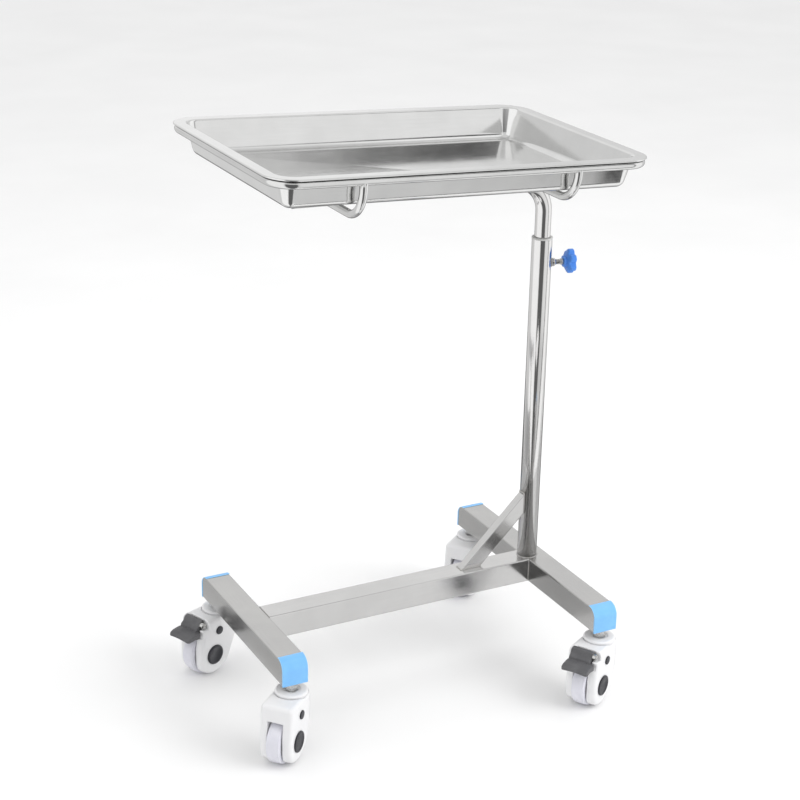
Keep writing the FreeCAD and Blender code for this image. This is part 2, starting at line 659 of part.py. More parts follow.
def pedal_bore(gap):
    """Bore for the pedal's pin, wider than the pin by a radial gap."""
    start = V(PEDAL_PIN_OUT, -FORK_HALF_WIDTH, PEDAL_PIN_UP)
    return cylinder(PEDAL_PIN_OD / 2 + gap, start, Y_AXIS, 2 * FORK_HALF_WIDTH)


def braked_fork():
    """The same fork with its apron cut away for the brake pedal."""
    body = fork()
    room_half = PEDAL_HALF_WIDTH + PEDAL_ROOM_GAP
    room = box(V(PEDAL_ROOM_BACK, -room_half, HEAD_UNDERSIDE), V(FORK_FRONT + 1, room_half, FORK_TOP + 1))
    body = body.cut(room).cut(pedal_bore(FIT_GAP))
    for sign in (-1, 1):
        head = V(PEDAL_PIN_OUT, sign * (PEDAL_PIN_HALF - 0.2), PEDAL_PIN_UP)
        body = body.cut(cylinder(PEDAL_HEAD_OD / 2 + 0.2, head, Y_AXIS * sign, FORK_HALF_WIDTH))
    return body.removeSplitter()


def axle():
    return cylinder(AXLE_OD / 2, V(TRAIL, -AXLE_HALF, AXLE_Z), Y_AXIS, 2 * AXLE_HALF)


def trim_caps():
    """Black caps over the axle's ends and the two small ones above them."""
    centres = ((V(TRAIL, 0, AXLE_Z), AXLE_CAP_OD), (V(TRAIL - TRIM_BACK, 0, AXLE_Z + TRIM_RISE), TRIM_OD))
    caps = []
    for sign in (-1, 1):
        for centre, diameter in centres:
            seat = centre + Y_AXIS * (sign * (FORK_HALF_WIDTH - CAP_RECESS))
            caps.append(cylinder(diameter / 2, seat, Y_AXIS * sign, CAP_PLATE))
    return Part.makeCompound(caps)


def stem():
    """Threaded stem: head inside the fork, shank up through the disc and the nuts."""
    head = cylinder(STEM_HEAD_OD / 2, V(0, 0, STEM_HEAD_TOP - STEM_HEAD), Z_AXIS, STEM_HEAD)
    shank = cylinder(STEM_OD / 2, V(0, 0, STEM_HEAD_TOP), Z_AXIS, STEM_TOP - STEM_HEAD_TOP)
    tip = [edge for edge in shank.Edges if edge.BoundBox.ZMin > STEM_TOP - 0.1]
    return head.fuse(shank.makeChamfer(1.0, tip)).removeSplitter()


def cover_disc():
    low = FORK_TOP - RECESS_DEPTH + 0.3
    disc = cylinder(DISC_OD / 2, V(0, 0, low), Z_AXIS, DISC_TOP - low)
    rim = [edge for edge in disc.Edges if edge.BoundBox.ZMin > DISC_TOP - 0.1]
    disc = disc.makeFillet(2.0, rim)
    return disc.cut(cylinder(STEM_OD / 2 + FIT_GAP, V(0, 0, low), Z_AXIS, DISC_TOP))


def tyre():
    half = WHEEL_WIDTH / 2
    start = V(TRAIL, -half, AXLE_Z)
    tread = cylinder(WHEEL_RADIUS, start, Y_AXIS, WHEEL_WIDTH)
    shoulders = [edge for edge in tread.Edges if edge.Curve.TypeId == "Part::GeomCircle"]
    tread = tread.makeFillet(TREAD_ROUNDING, shoulders)
    return tread.cut(cylinder(HUB_RADIUS + FIT_GAP, start, Y_AXIS, WHEEL_WIDTH))


def hub():
    """Wheel centre, dished on both sides round its two bearing seats."""
    half = WHEEL_WIDTH / 2
    start = V(TRAIL, -half, AXLE_Z)
    body = cylinder(HUB_RADIUS, start, Y_AXIS, WHEEL_WIDTH)
    body = body.cut(cylinder(BEARING_OD / 2 - BEARING_LEDGE, start, Y_AXIS, WHEEL_WIDTH))
    for sign in (-1, 1):
        side = V(TRAIL, sign * half, AXLE_Z)
        inward = Y_AXIS * -sign
        body = body.cut(ring(HUB_RADIUS - HUB_RIM, BEARING_OD / 2 + HUB_BOSS, side, inward, HUB_RIM))
        body = body.cut(cylinder(BEARING_OD / 2 + FIT_GAP, side, inward, BEARING_WIDTH))
    return body


def wheel_bearings():
    """The two ball bearings in the hub, each as one plain ring."""
    bearings = []
    for sign in (-1, 1):
        side = V(TRAIL, sign * WHEEL_WIDTH / 2, AXLE_Z)
        bearings.append(ring(BEARING_OD / 2, AXLE_OD / 2 + SLIDE_GAP, side, Y_AXIS * -sign, BEARING_WIDTH))
    return Part.makeCompound(bearings)


def brake_pedal():
    """Stepped pedal: a block between the cheeks, a wider tread in front and a nose over the tyre."""
    parts = (
        (PEDAL_BLOCK, PEDAL_HALF_WIDTH),
        (PEDAL_TREAD, PEDAL_TIP_HALF_WIDTH),
        (PEDAL_NOSE, PEDAL_NOSE_HALF_WIDTH),
    )
    solids = []
    for outline, half in parts:
        corners = [V(x, -half, z) for x, z in outline]
        solids.append(Part.Face(Part.makePolygon(corners + corners[:1])).extrude(V(0, 2 * half, 0)))
    return solids[0].multiFuse(solids[1:]).removeSplitter().cut(pedal_bore(SLIDE_GAP))


def pedal_pin():
    """Pin through the cheeks and the pedal, with a round screw head at each end."""
    half = PEDAL_PIN_HALF
    pin = cylinder(PEDAL_PIN_OD / 2, V(PEDAL_PIN_OUT, -half, PEDAL_PIN_UP), Y_AXIS, 2 * half)
    for sign in (-1, 1):
        seat = V(PEDAL_PIN_OUT, sign * half, PEDAL_PIN_UP)
        pin = pin.fuse(cylinder(PEDAL_HEAD_OD / 2, seat, Y_AXIS * sign, PEDAL_HEAD))
    return pin.removeSplitter()


# --- assembly -----------------------------------------------------------------------------------


def build():
    """All nodes by name, laid out about the middle of the long beam."""
    nodes = {
        "long_beam": long_beam(),
        "left_cross_beam": cross_beam(LEFT_X, LEFT_BEAM),
        "right_cross_beam": cross_beam(RIGHT_X, RIGHT_BEAM),
        "left_near_end_cap": end_cap(LEFT_X, LEFT_BEAM, -1),
        "left_far_end_cap": end_cap(LEFT_X, LEFT_BEAM, 1),
        "right_near_end_cap": end_cap(RIGHT_X, RIGHT_BEAM, -1),
        "right_far_end_cap": end_cap(RIGHT_X, RIGHT_BEAM, 1),
        "stem_nuts": stem_nuts(),
        "weld_nuts": weld_nuts(),
        "brace": brace(),
        "mast_tube": mast_tube(),
        "mast_bush": mast_bush(),
        "clamp_boss": clamp_boss(),
        "clamp_shoe": clamp_shoe(),
        "clamp_screw": clamp_screw(),
        "clamp_knob": clamp_knob(),
        "post_guide": post_guide(),
        "post": post(),
        "post_foot_plug": post_foot_plug(),
        "arm_end_plug": arm_end_plug(),
        "support_ring": support_ring(),
        "left_cross_rod": cross_rod(LEFT_ROD_X),
        "right_cross_rod": cross_rod(RIGHT_ROD_X),
        "tray": tray(),
    }
    common_pieces = {
        "stem": stem(),
        "cover_disc": cover_disc(),
        "axle": axle(),
        "trim_caps": trim_caps(),
        "tyre": tyre(),
        "hub": hub(),
        "bearings": wheel_bearings(),
    }
    plain_fork = fork()
    pedal_fork = braked_fork()
    for name, x, y, heading, brake in CASTERS:
        pieces = dict(common_pieces, fork=pedal_fork if brake else plain_fork)
        if brake:
            pieces.update(brake_pedal=brake_pedal(), pedal_pin=pedal_pin())
        for piece, shape in pieces.items():
            nodes[name + "_" + piece] = placed(shape, heading, V(x, y, 0))
    return nodes


def centre_shift(nodes):
    """Sideways move that puts the origin under the middle of the whole object."""
    whole = FreeCAD.BoundBox()
    for shape in nodes.values():
        whole.add(shape.optimalBoundingBox(False, False))
    return V(-whole.Center.x, -whole.Center.y, 0)


NODES = build()
SHIFT = centre_shift(NODES)
os.makedirs("parts", exist_ok=True)
for node_name, node_shape in NODES.items():
    node_shape.translate(SHIFT)
    node_shape.exportStep("parts/" + node_name + ".step")
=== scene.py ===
import json
import math

import bpy
import numpy as np
from mathutils import Matrix, Vector


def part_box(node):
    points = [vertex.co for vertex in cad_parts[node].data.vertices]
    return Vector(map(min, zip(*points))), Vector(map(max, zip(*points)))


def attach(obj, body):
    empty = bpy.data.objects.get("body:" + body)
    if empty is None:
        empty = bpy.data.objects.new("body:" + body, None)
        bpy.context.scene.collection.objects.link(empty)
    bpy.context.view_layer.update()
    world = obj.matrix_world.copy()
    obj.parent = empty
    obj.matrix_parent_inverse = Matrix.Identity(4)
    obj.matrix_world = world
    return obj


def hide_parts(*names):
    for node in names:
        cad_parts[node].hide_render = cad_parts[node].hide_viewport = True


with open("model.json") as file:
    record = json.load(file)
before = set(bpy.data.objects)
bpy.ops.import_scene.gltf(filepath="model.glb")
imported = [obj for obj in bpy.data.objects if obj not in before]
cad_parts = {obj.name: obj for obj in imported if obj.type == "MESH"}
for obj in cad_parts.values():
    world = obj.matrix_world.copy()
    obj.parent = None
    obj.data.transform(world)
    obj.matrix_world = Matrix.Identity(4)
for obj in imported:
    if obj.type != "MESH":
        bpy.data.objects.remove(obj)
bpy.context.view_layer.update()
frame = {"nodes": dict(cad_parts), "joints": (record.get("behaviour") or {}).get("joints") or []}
nodes = frame["nodes"]
joints = {joint["name"]: joint for joint in frame["joints"]}

# Lengths below are millimetres in the base's own layout: x along the long beam from its middle,
# y away from the near side, z up from the floor. The mast's place in the frame ties the two.
MM = 0.001
MAST_X = 240.0
mast_low, mast_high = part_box("mast_tube")
LAYOUT = Matrix.Translation((
    (mast_low.x + mast_high.x) / 2 - MAST_X * MM,
    (mast_low.y + mast_high.y) / 2,
    0,
))

TUBE = 40.0
BASE_TOP = 158.0
BASE_BOTTOM = 118.0
BEAM_X = 252.5                 # middle of each cross beam
BEAM_HALF = {"left": 160.0, "right": 220.0}
MAST_RADIUS = 16.0
MAST_TOP = 701.0
MAST_BORE = 14.5               # radius
POST_FOOT = 200.0
BRACE_FOOT = 147.0             # the end of the brace's foot on the long beam, on the mast's side
BRACE_RUN = 25 * math.sqrt(2)  # the length of the foot along the beam
BRACE_HALF = 7.5
CLAMP_HEIGHT = 661.0
CLAMP_TURN = math.radians(-12)
POST_RADIUS = 12.5
BEND_RADIUS = 50.0
TRAY_X = 3.0
TRAY_HEIGHT = 880.0
TRAY_TILT = math.radians(2.8)
TRAY_HALF = (302.5, 200.0)
TRAY_CORNER = 44.0
TRAY_DEPTH = 48.0
TRAY_SHEET = 1.2
FLANGE_FLAT = 17.0
FLANGE_BEND = 4.0
WALL_LEAN = math.radians(15)
COVE_RADIUS = 12.0
HEM = 2.8
RING_RADIUS = 6.0
RING_INSET = 8.0
RING_Z = -(HEM + RING_RADIUS)
ROD_RADIUS = 6.0
ROD_BEND = 42.0
ROD_X = {"left": -168.0, "right": 172.0}
ARM_DROP = 79.0
ARM_SAG = math.radians(0.8)
ARM_END_X = -182.0
TRAIL = 32.0                   # from a caster's stem to its axle
AXLE_Z = 37.5
FORK_HALF = 28.0
SMALL_TRIM = (TRAIL - 10.5, AXLE_Z + 40.0)
PIN_OUT = 50.0
PIN_UP = 93.0
BRAKE_PRESS = math.radians(10)
PEDAL_BLOCK = [                # side outlines of the pedal in a caster's own layout, as (x, z)
    (45.6, 98.0), (50.2, 98.0), (53.4, 92.5), (59.8, 87.6),
    (61.2, 83.2), (59.6, 79.6), (52.0, 79.6), (45.6, 87.0),
]
PEDAL_TREAD = [
    (57.6, 84.0), (66.0, 84.6), (77.0, 83.4), (84.0, 80.4),
    (84.8, 78.2), (81.0, 78.0), (70.0, 79.2), (60.0, 77.6),
]
PEDAL_SHIFT = 3.4              # how far the upper part of the pedal stands to one side
PEDAL_DROOP = 0.0035           # the tread's drop per square millimetre from its middle
STRAIGHT = Matrix.Identity(4)
BRAKED = ("left_far", "right_near")
CASTERS = ("left_near", "left_far", "right_near", "right_far")


# --- meshes -------------------------------------------------------------------------------------


def mesh_from(name, points, faces):
    """A mesh in metres from points in millimetres."""
    mesh = bpy.data.meshes.new(name)
    mesh.from_pydata([tuple(p) for p in np.asarray(points, float) * MM], [], [tuple(f) for f in faces])
    mesh.validate()
    mesh.shade_smooth()
    return mesh


def piece(name, mesh, body, material, replaces=(), place=LAYOUT):
    """Puts a mesh in the scene, on its body, in place of some CAD nodes."""
    obj = bpy.data.objects.new(name, mesh)
    bpy.context.scene.collection.objects.link(obj)
    obj.matrix_world = place
    if not mesh.materials:
        mesh.materials.append(material)
    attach(obj, body)
    if replaces:
        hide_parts(*replaces)


def merged(parts):
    """One list of points and one of faces from several."""
    points, faces = [], []
    for part_points, part_faces in parts:
        start = len(points)
        points.extend(tuple(p) for p in part_points)
        faces.extend(tuple(i + start for i in f) for f in part_faces)
    return points, faces


def turned(profile, start, direction, segments=64, closed=False):
    """A profile of (radius, distance) turned about an axis, with its ends closed on the axis."""
    start = np.array(start, float)
    way = np.array(direction, float)
    way /= np.linalg.norm(way)
    helper = np.array((0, 0, 1.0)) if abs(way[2]) < 0.9 else np.array((1.0, 0, 0))
    side = np.cross(way, helper)
    side /= np.linalg.norm(side)
    up = np.cross(way, side)
    points, rows = [], []
    for radius, distance in profile:
        centre = start + way * distance
        if radius < 1e-6:
            rows.append([len(points)] * segments)
            points.append(centre)
            continue
        row = []
        for k in range(segments):
            angle = 2 * math.pi * k / segments
            row.append(len(points))
            points.append(centre + (side * math.cos(angle) + up * math.sin(angle)) * radius)
        rows.append(row)
    faces = []
    pairs = list(zip(rows, rows[1:] + ([rows[0]] if closed else [])))
    for low, high in pairs[:len(rows) if closed else len(rows) - 1]:
        for k in range(segments):
            n = (k + 1) % segments
            corners = [low[k], high[k], high[n], low[n]]
            loop = [c for i, c in enumerate(corners) if c != corners[i - 1]]
            if len(loop) > 2:
                faces.append(loop)
    return points, faces


def rounded_profile(corners, steps=5):
    """A profile of (radius, distance, rounding) corners with arcs in place of the corners."""
    result = []
    for k, corner in enumerate(corners):
        p = np.array(corner[:2], float)
        rounding = corner[2] if len(corner) > 2 else 0
        if not rounding or k in (0, len(corners) - 1):
            result.append(tuple(p))
            continue
        a = np.array(corners[k - 1][:2], float) - p
        b = np.array(corners[k + 1][:2], float) - p
        a /= np.linalg.norm(a)
        b /= np.linalg.norm(b)
        half = math.acos(max(-1, min(1, float(a @ b)))) / 2
        reach = rounding / math.tan(half)
        centre = p + (a + b) / np.linalg.norm(a + b) * rounding / math.sin(half)
        first = p + a * reach - centre
        last = p + b * reach - centre
        sweep = math.atan2(first[0] * last[1] - first[1] * last[0], float(first @ last))
        for i in range(steps + 1):
            t = sweep * i / steps
            c, s = math.cos(t), math.sin(t)
            result.append(tuple(centre + (first[0] * c - first[1] * s, first[0] * s + first[1] * c)))
    return result


def arc_points(centre, start, end, steps):
    """Points on an arc about a centre, from one point to another, both at the same radius."""
    centre, start, end = (np.array(p, float) for p in (centre, start, end))
    a, b = start - centre, end - centre
    angle = math.acos(max(-1, min(1, float(a @ b) / np.linalg.norm(a) / np.linalg.norm(b))))
    points = []
    for k in range(steps + 1):
        t = k / steps
        points.append(centre + (a * math.sin(angle * (1 - t)) + b * math.sin(angle * t)) / math.sin(angle))
    return points


def swept(path, radius, segments=40, closed=False, ripple=None):
    """A round bar along a path. ripple gives the radius at each point as a share of the whole."""
    path = [np.array(p, float) for p in path]
    count = len(path)
    ways = []
    for k in range(count):
        ahead = path[(k + 1) % count] if closed or k < count - 1 else path[k]
        behind = path[k - 1] if closed or k > 0 else path[k]
        way = ahead - behind
        ways.append(way / np.linalg.norm(way))
    helper = np.array((0, 0, 1.0)) if abs(ways[0][2]) < 0.9 else np.array((1.0, 0, 0))
    side = np.cross(helper, ways[0])
    side /= np.linalg.norm(side)
    points, rings = [], []
    for k in range(count):
        side = side - ways[k] * float(side @ ways[k])
        side /= np.linalg.norm(side)
        up = np.cross(ways[k], side)
        scale = radius * (ripple(k) if ripple else 1)
        ring = []
        for i in range(segments):
            angle = 2 * math.pi * i / segments
            ring.append(len(points))
            points.append(path[k] + side * math.cos(angle) * scale + up * math.sin(angle) * scale)
        rings.append(ring)
    faces = []
    for low, high in list(zip(rings, rings[1:])) + ([(rings[-1], rings[0])] if closed else []):
        for i in range(segments):
            n = (i + 1) % segments
            faces.append((low[i], low[n], high[n], high[i]))
    if not closed:
        faces.append(tuple(reversed(rings[0])))
        faces.append(tuple(rings[-1]))
    return points, faces


def meet(a, b, rounding):
    """Intersection of two distance fields with a rounded edge."""
    u = np.maximum(a + rounding, 0)
    v = np.maximum(b + rounding, 0)
    return np.minimum(-rounding, np.maximum(a, b)) + np.hypot(u, v)


def join(a, b, rounding):
    """Union of two distance fields with a hollow fillet between them."""
    u = np.maximum(rounding - a, 0)
    v = np.maximum(rounding - b, 0)
    return np.maximum(rounding, np.minimum(a, b)) - np.hypot(u, v)


def corner_field(u, v, radius):
    """Signed distance to a quarter plane below nought both ways, grown by a radius."""
    return np.hypot(np.maximum(u, 0), np.maximum(v, 0)) + np.minimum(np.maximum(u, v), 0) - radius


def polygon_field(x, y, corners, rounding=0.0):
    """Signed distance to a polygon, grown by a rounding."""
    best = np.full(x.shape, 1e9)
    inside = np.zeros(x.shape, bool)
    for (ax, ay), (bx, by) in zip(corners, corners[1:] + corners[:1]):
        ex, ey = bx - ax, by - ay
        wx, wy = x - ax, y - ay
        t = np.clip((wx * ex + wy * ey) / (ex * ex + ey * ey), 0, 1)
        best = np.minimum(best, np.hypot(wx - ex * t, wy - ey * t))
        crosses = (ay > y) != (by > y)
        inside ^= crosses & (x < ax + (y - ay) * ex / (by - ay if by != ay else 1))
    return np.where(inside, -best, best) - rounding


def field_mesh(field, low, high, step):
    """Points and quads on the zero level of a distance field, sampled on a grid and then drawn to it."""
    axes = [np.arange(a, b + step, step) for a, b in zip(low, high)]
    grid = np.stack(np.meshgrid(*axes, indexing="ij"), -1)
    shape = grid.shape[:3]
    value = field(*grid.reshape(-1, 3).T).reshape(shape)
    inside = value < 0
    cells = tuple(n - 1 for n in shape)
    offsets = [(i, j, k) for i in (0, 1) for j in (0, 1) for k in (0, 1)]

    def corner(array, offset):
        return array[tuple(slice(o, o + n) for o, n in zip(offset, cells))]

    filled = sum(corner(inside, o).astype(int) for o in offsets)
    active = (filled > 0) & (filled < 8)
    index = np.full(cells, -1)
    index[active] = np.arange(active.sum())
    total = np.zeros((int(active.sum()), 3))
    hits = np.zeros(int(active.sum()))
    for first in offsets:
        for axis in range(3):
            if first[axis]:
                continue
            second = tuple(1 if a == axis else o for a, o in enumerate(first))
            va, vb = corner(value, first)[active], corner(value, second)[active]
            crossed = (va < 0) != (vb < 0)
            t = np.where(crossed, va / np.where(crossed, va - vb, 1), 0)
            place = np.tile(np.array(first, float), (len(t), 1))
            place[:, axis] += t
            total[crossed] += place[crossed]
            hits[crossed] += 1
    cell = np.argwhere(active)
    points = np.array(low, float) + (cell + total / hits[:, None]) * step
    for _ in range(3):
        here = field(*points.T)
        slope = np.stack([(field(*(points + d).T) - field(*(points - d).T)) / 0.1
                          for d in np.eye(3) * 0.05], -1)
        size = np.maximum((slope ** 2).sum(1), 0.3)
        move = np.clip(here / size, -step / 2, step / 2)
        points = points - slope * move[:, None]
    faces = []
    for axis in range(3):
        u, v = (axis + 1) % 3, (axis + 2) % 3
        a = inside[tuple(slice(0, -1) if k == axis else slice(1, -1) for k in range(3))]
        b = inside[tuple(slice(1, None) if k == axis else slice(1, -1) for k in range(3))]
        for sign, where in ((1, a & ~b), (-1, b & ~a)):
            spot = np.argwhere(where)
            spot[:, u] += 1
            spot[:, v] += 1
            ring = []
            for du, dv in ((-1, -1), (0, -1), (0, 0), (-1, 0)):
                place = spot.copy()
                place[:, u] += du
                place[:, v] += dv
                ring.append(index[tuple(place.T)])
            quads = np.stack(ring if sign > 0 else ring[::-1], -1)
            faces.extend(map(tuple, quads.tolist()))
    return points, faces


# --- materials ----------------------------------------------------------------------------------


class Paint:
    """A node material built step by step round one Principled shader."""

    def __init__(self, name):
        self.material = bpy.data.materials.new(name)
        self.material.use_nodes = True
        self.tree = self.material.node_tree
        self.shader = next(n for n in self.tree.nodes if n.type == "BSDF_PRINCIPLED")
        self.place = self.tree.nodes.new("ShaderNodeTexCoord").outputs["Object"]

    def node(self, kind, **inputs):
        made = self.tree.nodes.new(kind)
        for name, value in inputs.items():
            self.put(made.inputs[name.replace("_", " ")], value)
        return made

    def put(self, socket, value):
        if isinstance(value, bpy.types.NodeSocket):
            self.tree.links.new(value, socket)
        else:
            socket.default_value = value

    def set(self, **inputs):
        for name, value in inputs.items():
            self.put(self.shader.inputs[name.replace("_", " ")], value)

    def noise(self, size, detail=4.0, rough=0.5, stretch=(1, 1, 1)):
        """Noise with features of a size in millimetres, drawn out along an axis."""
        mapping = self.node("ShaderNodeMapping", Vector=self.place, Scale=stretch)
        made = self.node("ShaderNodeTexNoise", Vector=mapping.outputs["Vector"], Scale=1000.0 / size,
                         Detail=detail, Roughness=rough)
        return made.outputs["Fac"]

    def spread(self, value, low, high, start=0.0, end=1.0):
        """The value, with its range from start to end stretched to low to high."""
        made = self.node("ShaderNodeMapRange", Value=value)
        for name, number in (("From Min", start), ("From Max", end), ("To Min", low), ("To Max", high)):
            made.inputs[name].default_value = number
        return made.outputs["Result"]

    def blend(self, factor, first, second):
        """A colour between two, where each is a colour or a socket."""
        made = self.tree.nodes.new("ShaderNodeMix")
        made.data_type = "RGBA"
        self.put(made.inputs[0], factor)
        self.put(made.inputs[6], (*first, 1) if isinstance(first, tuple) else first)
        self.put(made.inputs[7], (*second, 1) if isinstance(second, tuple) else second)
        return made.outputs[2]

    def math(self, operation, a, b=0.0):
        made = self.tree.nodes.new("ShaderNodeMath")
        made.operation = operation
        self.put(made.inputs[0], a)
        self.put(made.inputs[1], b)
        return made.outputs[0]

    def bump(self, *layers):
        """Height layers of (value, height in millimetres) as the shader's normal."""
        normal = None
        for value, height in layers:
            made = self.node("ShaderNodeBump", Height=value, Distance=height * MM)
            if normal is not None:
                self.tree.links.new(normal, made.inputs["Normal"])
            normal = made.outputs["Normal"]
        self.tree.links.new(normal, self.shader.inputs["Normal"])

    def edge_highlight_and_wear(self):
        """One on convex edges and nought elsewhere: the mask for edges painted lighter, a painted highlight
        with wear.
        """
        pointy = self.tree.nodes.new("ShaderNodeNewGeometry").outputs["Pointiness"]
        return self.spread(pointy, 0.0, 0.75, 0.515, 0.57)


def steel(name, grain, bright, dark, rough, spread, scratch=0.0004, wave=0.25, painted_shade_heights=None):
    """Stainless steel with fine grain drawn out along an axis, soft cloudiness and a slight wave.

    The last argument is a range of heights, in millimetres, over which the colour is painted near black:
    painted shade of the gap where the part meets another.
    """
    paint = Paint(name)
    streaks = paint.noise(0.7, 3.0, 0.6, grain)
    coarse = paint.noise(3.5, 3.0, 0.55, grain)
    clouds = paint.noise(60.0, 3.0, 0.5)
    smudge = paint.noise(14.0, 5.0, 0.6)
    waves = paint.noise(90.0, 1.0, 0.4)
    tone = paint.math("ADD", paint.math("MULTIPLY", coarse, 0.3), paint.math("MULTIPLY", clouds, 0.7))
    color = paint.blend(paint.spread(tone, 0, 1, 0.35, 0.65), dark, bright)
    # Painted shade: the colour goes near black over the given heights, standing in for the shadow in a
    # contact gap.
    if painted_shade_heights:
        height = paint.node("ShaderNodeSeparateXYZ", Vector=paint.place).outputs["Z"]
        painted_shade_mask = paint.spread(height, 0, 1, painted_shade_heights[0] * MM, painted_shade_heights[1] * MM)
        color = paint.blend(painted_shade_mask, color, (0.035, 0.035, 0.035))
    paint.set(
        Base_Color=color,
        Metallic=1.0,
        Roughness=paint.math("ADD", paint.spread(smudge, rough, rough + spread * 0.6, 0.35, 0.7),
                             paint.spread(coarse, 0, spread * 0.3, 0.35, 0.65)),
    )
    paint.bump((waves, wave), (streaks, scratch))
    return paint.material


def plastic(name, color, second, rough, spread, grain=0.4, height=0.01, wave=0.06, edge=None):
    """Moulded plastic: fine texture, faint colour change, dull patches from handling, and convex edges
    painted lighter as a painted highlight with wear.
    """
    paint = Paint(name)
    clouds = paint.noise(22.0, 4.0, 0.55)
    fine = paint.noise(grain, 3.0, 0.6)
    dull = paint.noise(8.0, 5.0, 0.6)
    waves = paint.noise(16.0, 2.0, 0.4)
    shade = paint.blend(paint.spread(clouds, 0, 1, 0.35, 0.68), color, second)
    # Convex edges take the edge colour: a painted highlight along the edges, with wear.
    if edge:
        shade = paint.blend(paint.edge_highlight_and_wear(), shade, edge)
    paint.set(Base_Color=shade, Roughness=paint.spread(dull, rough, rough + spread, 0.35, 0.7), IOR=1.48)
    paint.bump((waves, wave), (fine, height))
    return paint.material


# Lit and shaded copies of one beam steel: the cross beams' copy is darker than the long beam's, painted shade
# for their sides turned away from the light; the grain runs along each beam.
LIT_BEAM_STEEL = steel("steel_long_beam_lit", (0.03, 1, 1), (0.66, 0.655, 0.65), (0.61, 0.605, 0.60),
                     0.14, 0.08, 0.0003)
SHADED_BEAM_STEEL = steel("steel_cross_beams_shaded", (1, 0.03, 1), (0.56, 0.555, 0.545), (0.52, 0.515, 0.51),
                     0.17, 0.08, 0.0003)
TUBE_STEEL = steel("steel_tubes", (1, 1, 0.03), (0.73, 0.725, 0.72), (0.68, 0.675, 0.67),
                   0.1, 0.05, 0.0003, 0.05)
BAR_STEEL = steel("steel_bars", (1, 1, 1), (0.70, 0.70, 0.695), (0.64, 0.64, 0.635), 0.1, 0.06, 0.001, 0.05)
# The ring's top is painted near black where it touches the tray's hem: painted shade for the dark gap between
# them.
RING_STEEL = steel("steel_ring", (1, 1, 1), (0.70, 0.70, 0.695), (0.64, 0.64, 0.635), 0.1, 0.06, 0.001, 0.05,
                   (RING_Z + RING_RADIUS - 2.4, RING_Z + RING_RADIUS - 1.6))
TRAY_STEEL = steel("steel_tray", (0.06, 1, 1), (0.74, 0.74, 0.735), (0.69, 0.69, 0.685),
                   0.1, 0.06, 0.0003, 0.3)
SCREW_STEEL = steel("steel_fasteners", (1, 1, 1), (0.68, 0.68, 0.67), (0.48, 0.48, 0.47),
                    0.2, 0.15, 0.01, 0.05)


def weld_metal():
    """Cleaned weld: rippled, slightly darker and straw-coloured in places."""
    paint = Paint("steel_welds")
    ripple = paint.noise(1.6, 4.0, 0.6)
    heat = paint.spread(paint.noise(9.0, 3.0, 0.5), 0, 1, 0.4, 0.65)
    paint.set(
        Base_Color=paint.blend(heat, (0.48, 0.475, 0.47), (0.58, 0.565, 0.54)),
        Metallic=1.0,
        Roughness=paint.spread(ripple, 0.22, 0.45, 0.3, 0.7),
    )
    paint.bump((ripple, 0.25),)
    return paint.material


WELD = weld_metal()
# The last colour given to the cap, knob and pedal paints their convex edges lighter: a painted highlight,
# with wear.
CAP_BLUE = plastic("plastic_cap_blue", (0.20, 0.50, 0.90), (0.225, 0.54, 0.93),
                   0.32, 0.14, 0.5, 0.012, 0.06, (0.42, 0.74, 0.95))
KNOB_BLUE = plastic("plastic_knob_blue", (0.06, 0.235, 0.74), (0.075, 0.27, 0.82),
                    0.26, 0.16, 0.6, 0.012, 0.06, (0.16, 0.42, 0.90))
WHITE = plastic("plastic_caster_white", (0.80, 0.80, 0.81), (0.812, 0.812, 0.82),
                0.28, 0.03, 0.8, 0.001, 0.008)
BLACK = plastic("plastic_trim_black", (0.012, 0.013, 0.018), (0.022, 0.022, 0.03), 0.3, 0.2, 0.35, 0.01)
PEDAL_GREY = plastic("plastic_pedal_grey", (0.085, 0.085, 0.09), (0.12, 0.12, 0.125),
                     0.45, 0.18, 0.35, 0.02, 0.06, (0.20, 0.20, 0.21))
TYRE_GREY = plastic("rubber_tyre_grey", (0.70, 0.70, 0.77), (0.76, 0.76, 0.82), 0.35, 0.2, 0.5, 0.012)
HUB_GREY = plastic("plastic_hub_grey", (0.55, 0.55, 0.58), (0.62, 0.62, 0.64), 0.4, 0.15, 0.6, 0.01)
NYLON = plastic("plastic_bush_nylon", (0.50, 0.50, 0.49), (0.58, 0.58, 0.57), 0.35, 0.15, 0.6, 0.01)
PLUG_GREY = plastic("plastic_plug_grey", (0.26, 0.26, 0.27), (0.32, 0.32, 0.33), 0.42, 0.15, 0.5, 0.02)


def brass():
    """Turned brass with fine marks and patches of tarnish."""
    paint = Paint("brass_shoe")
    marks = paint.noise(0.6, 4.0, 0.6)
    tarnished = paint.spread(paint.noise(3.0, 4.0, 0.6), 0, 1, 0.4, 0.65)
    paint.set(
        Base_Color=paint.blend(tarnished, (0.62, 0.44, 0.17), (0.45, 0.30, 0.11)),
        Metallic=1.0,
        Roughness=paint.spread(marks, 0.2, 0.4, 0.3, 0.7),
    )
    paint.bump((marks, 0.01),)
    return paint.material


BRASS = brass()

# --- base: beams, end caps, nuts, brace, welds --------------------------------------------------


def shifted(x, y, z=0.0):
    """The transform to a place in the layout, given in millimetres."""
    return LAYOUT @ Matrix.Translation((x * MM, y * MM, z * MM))


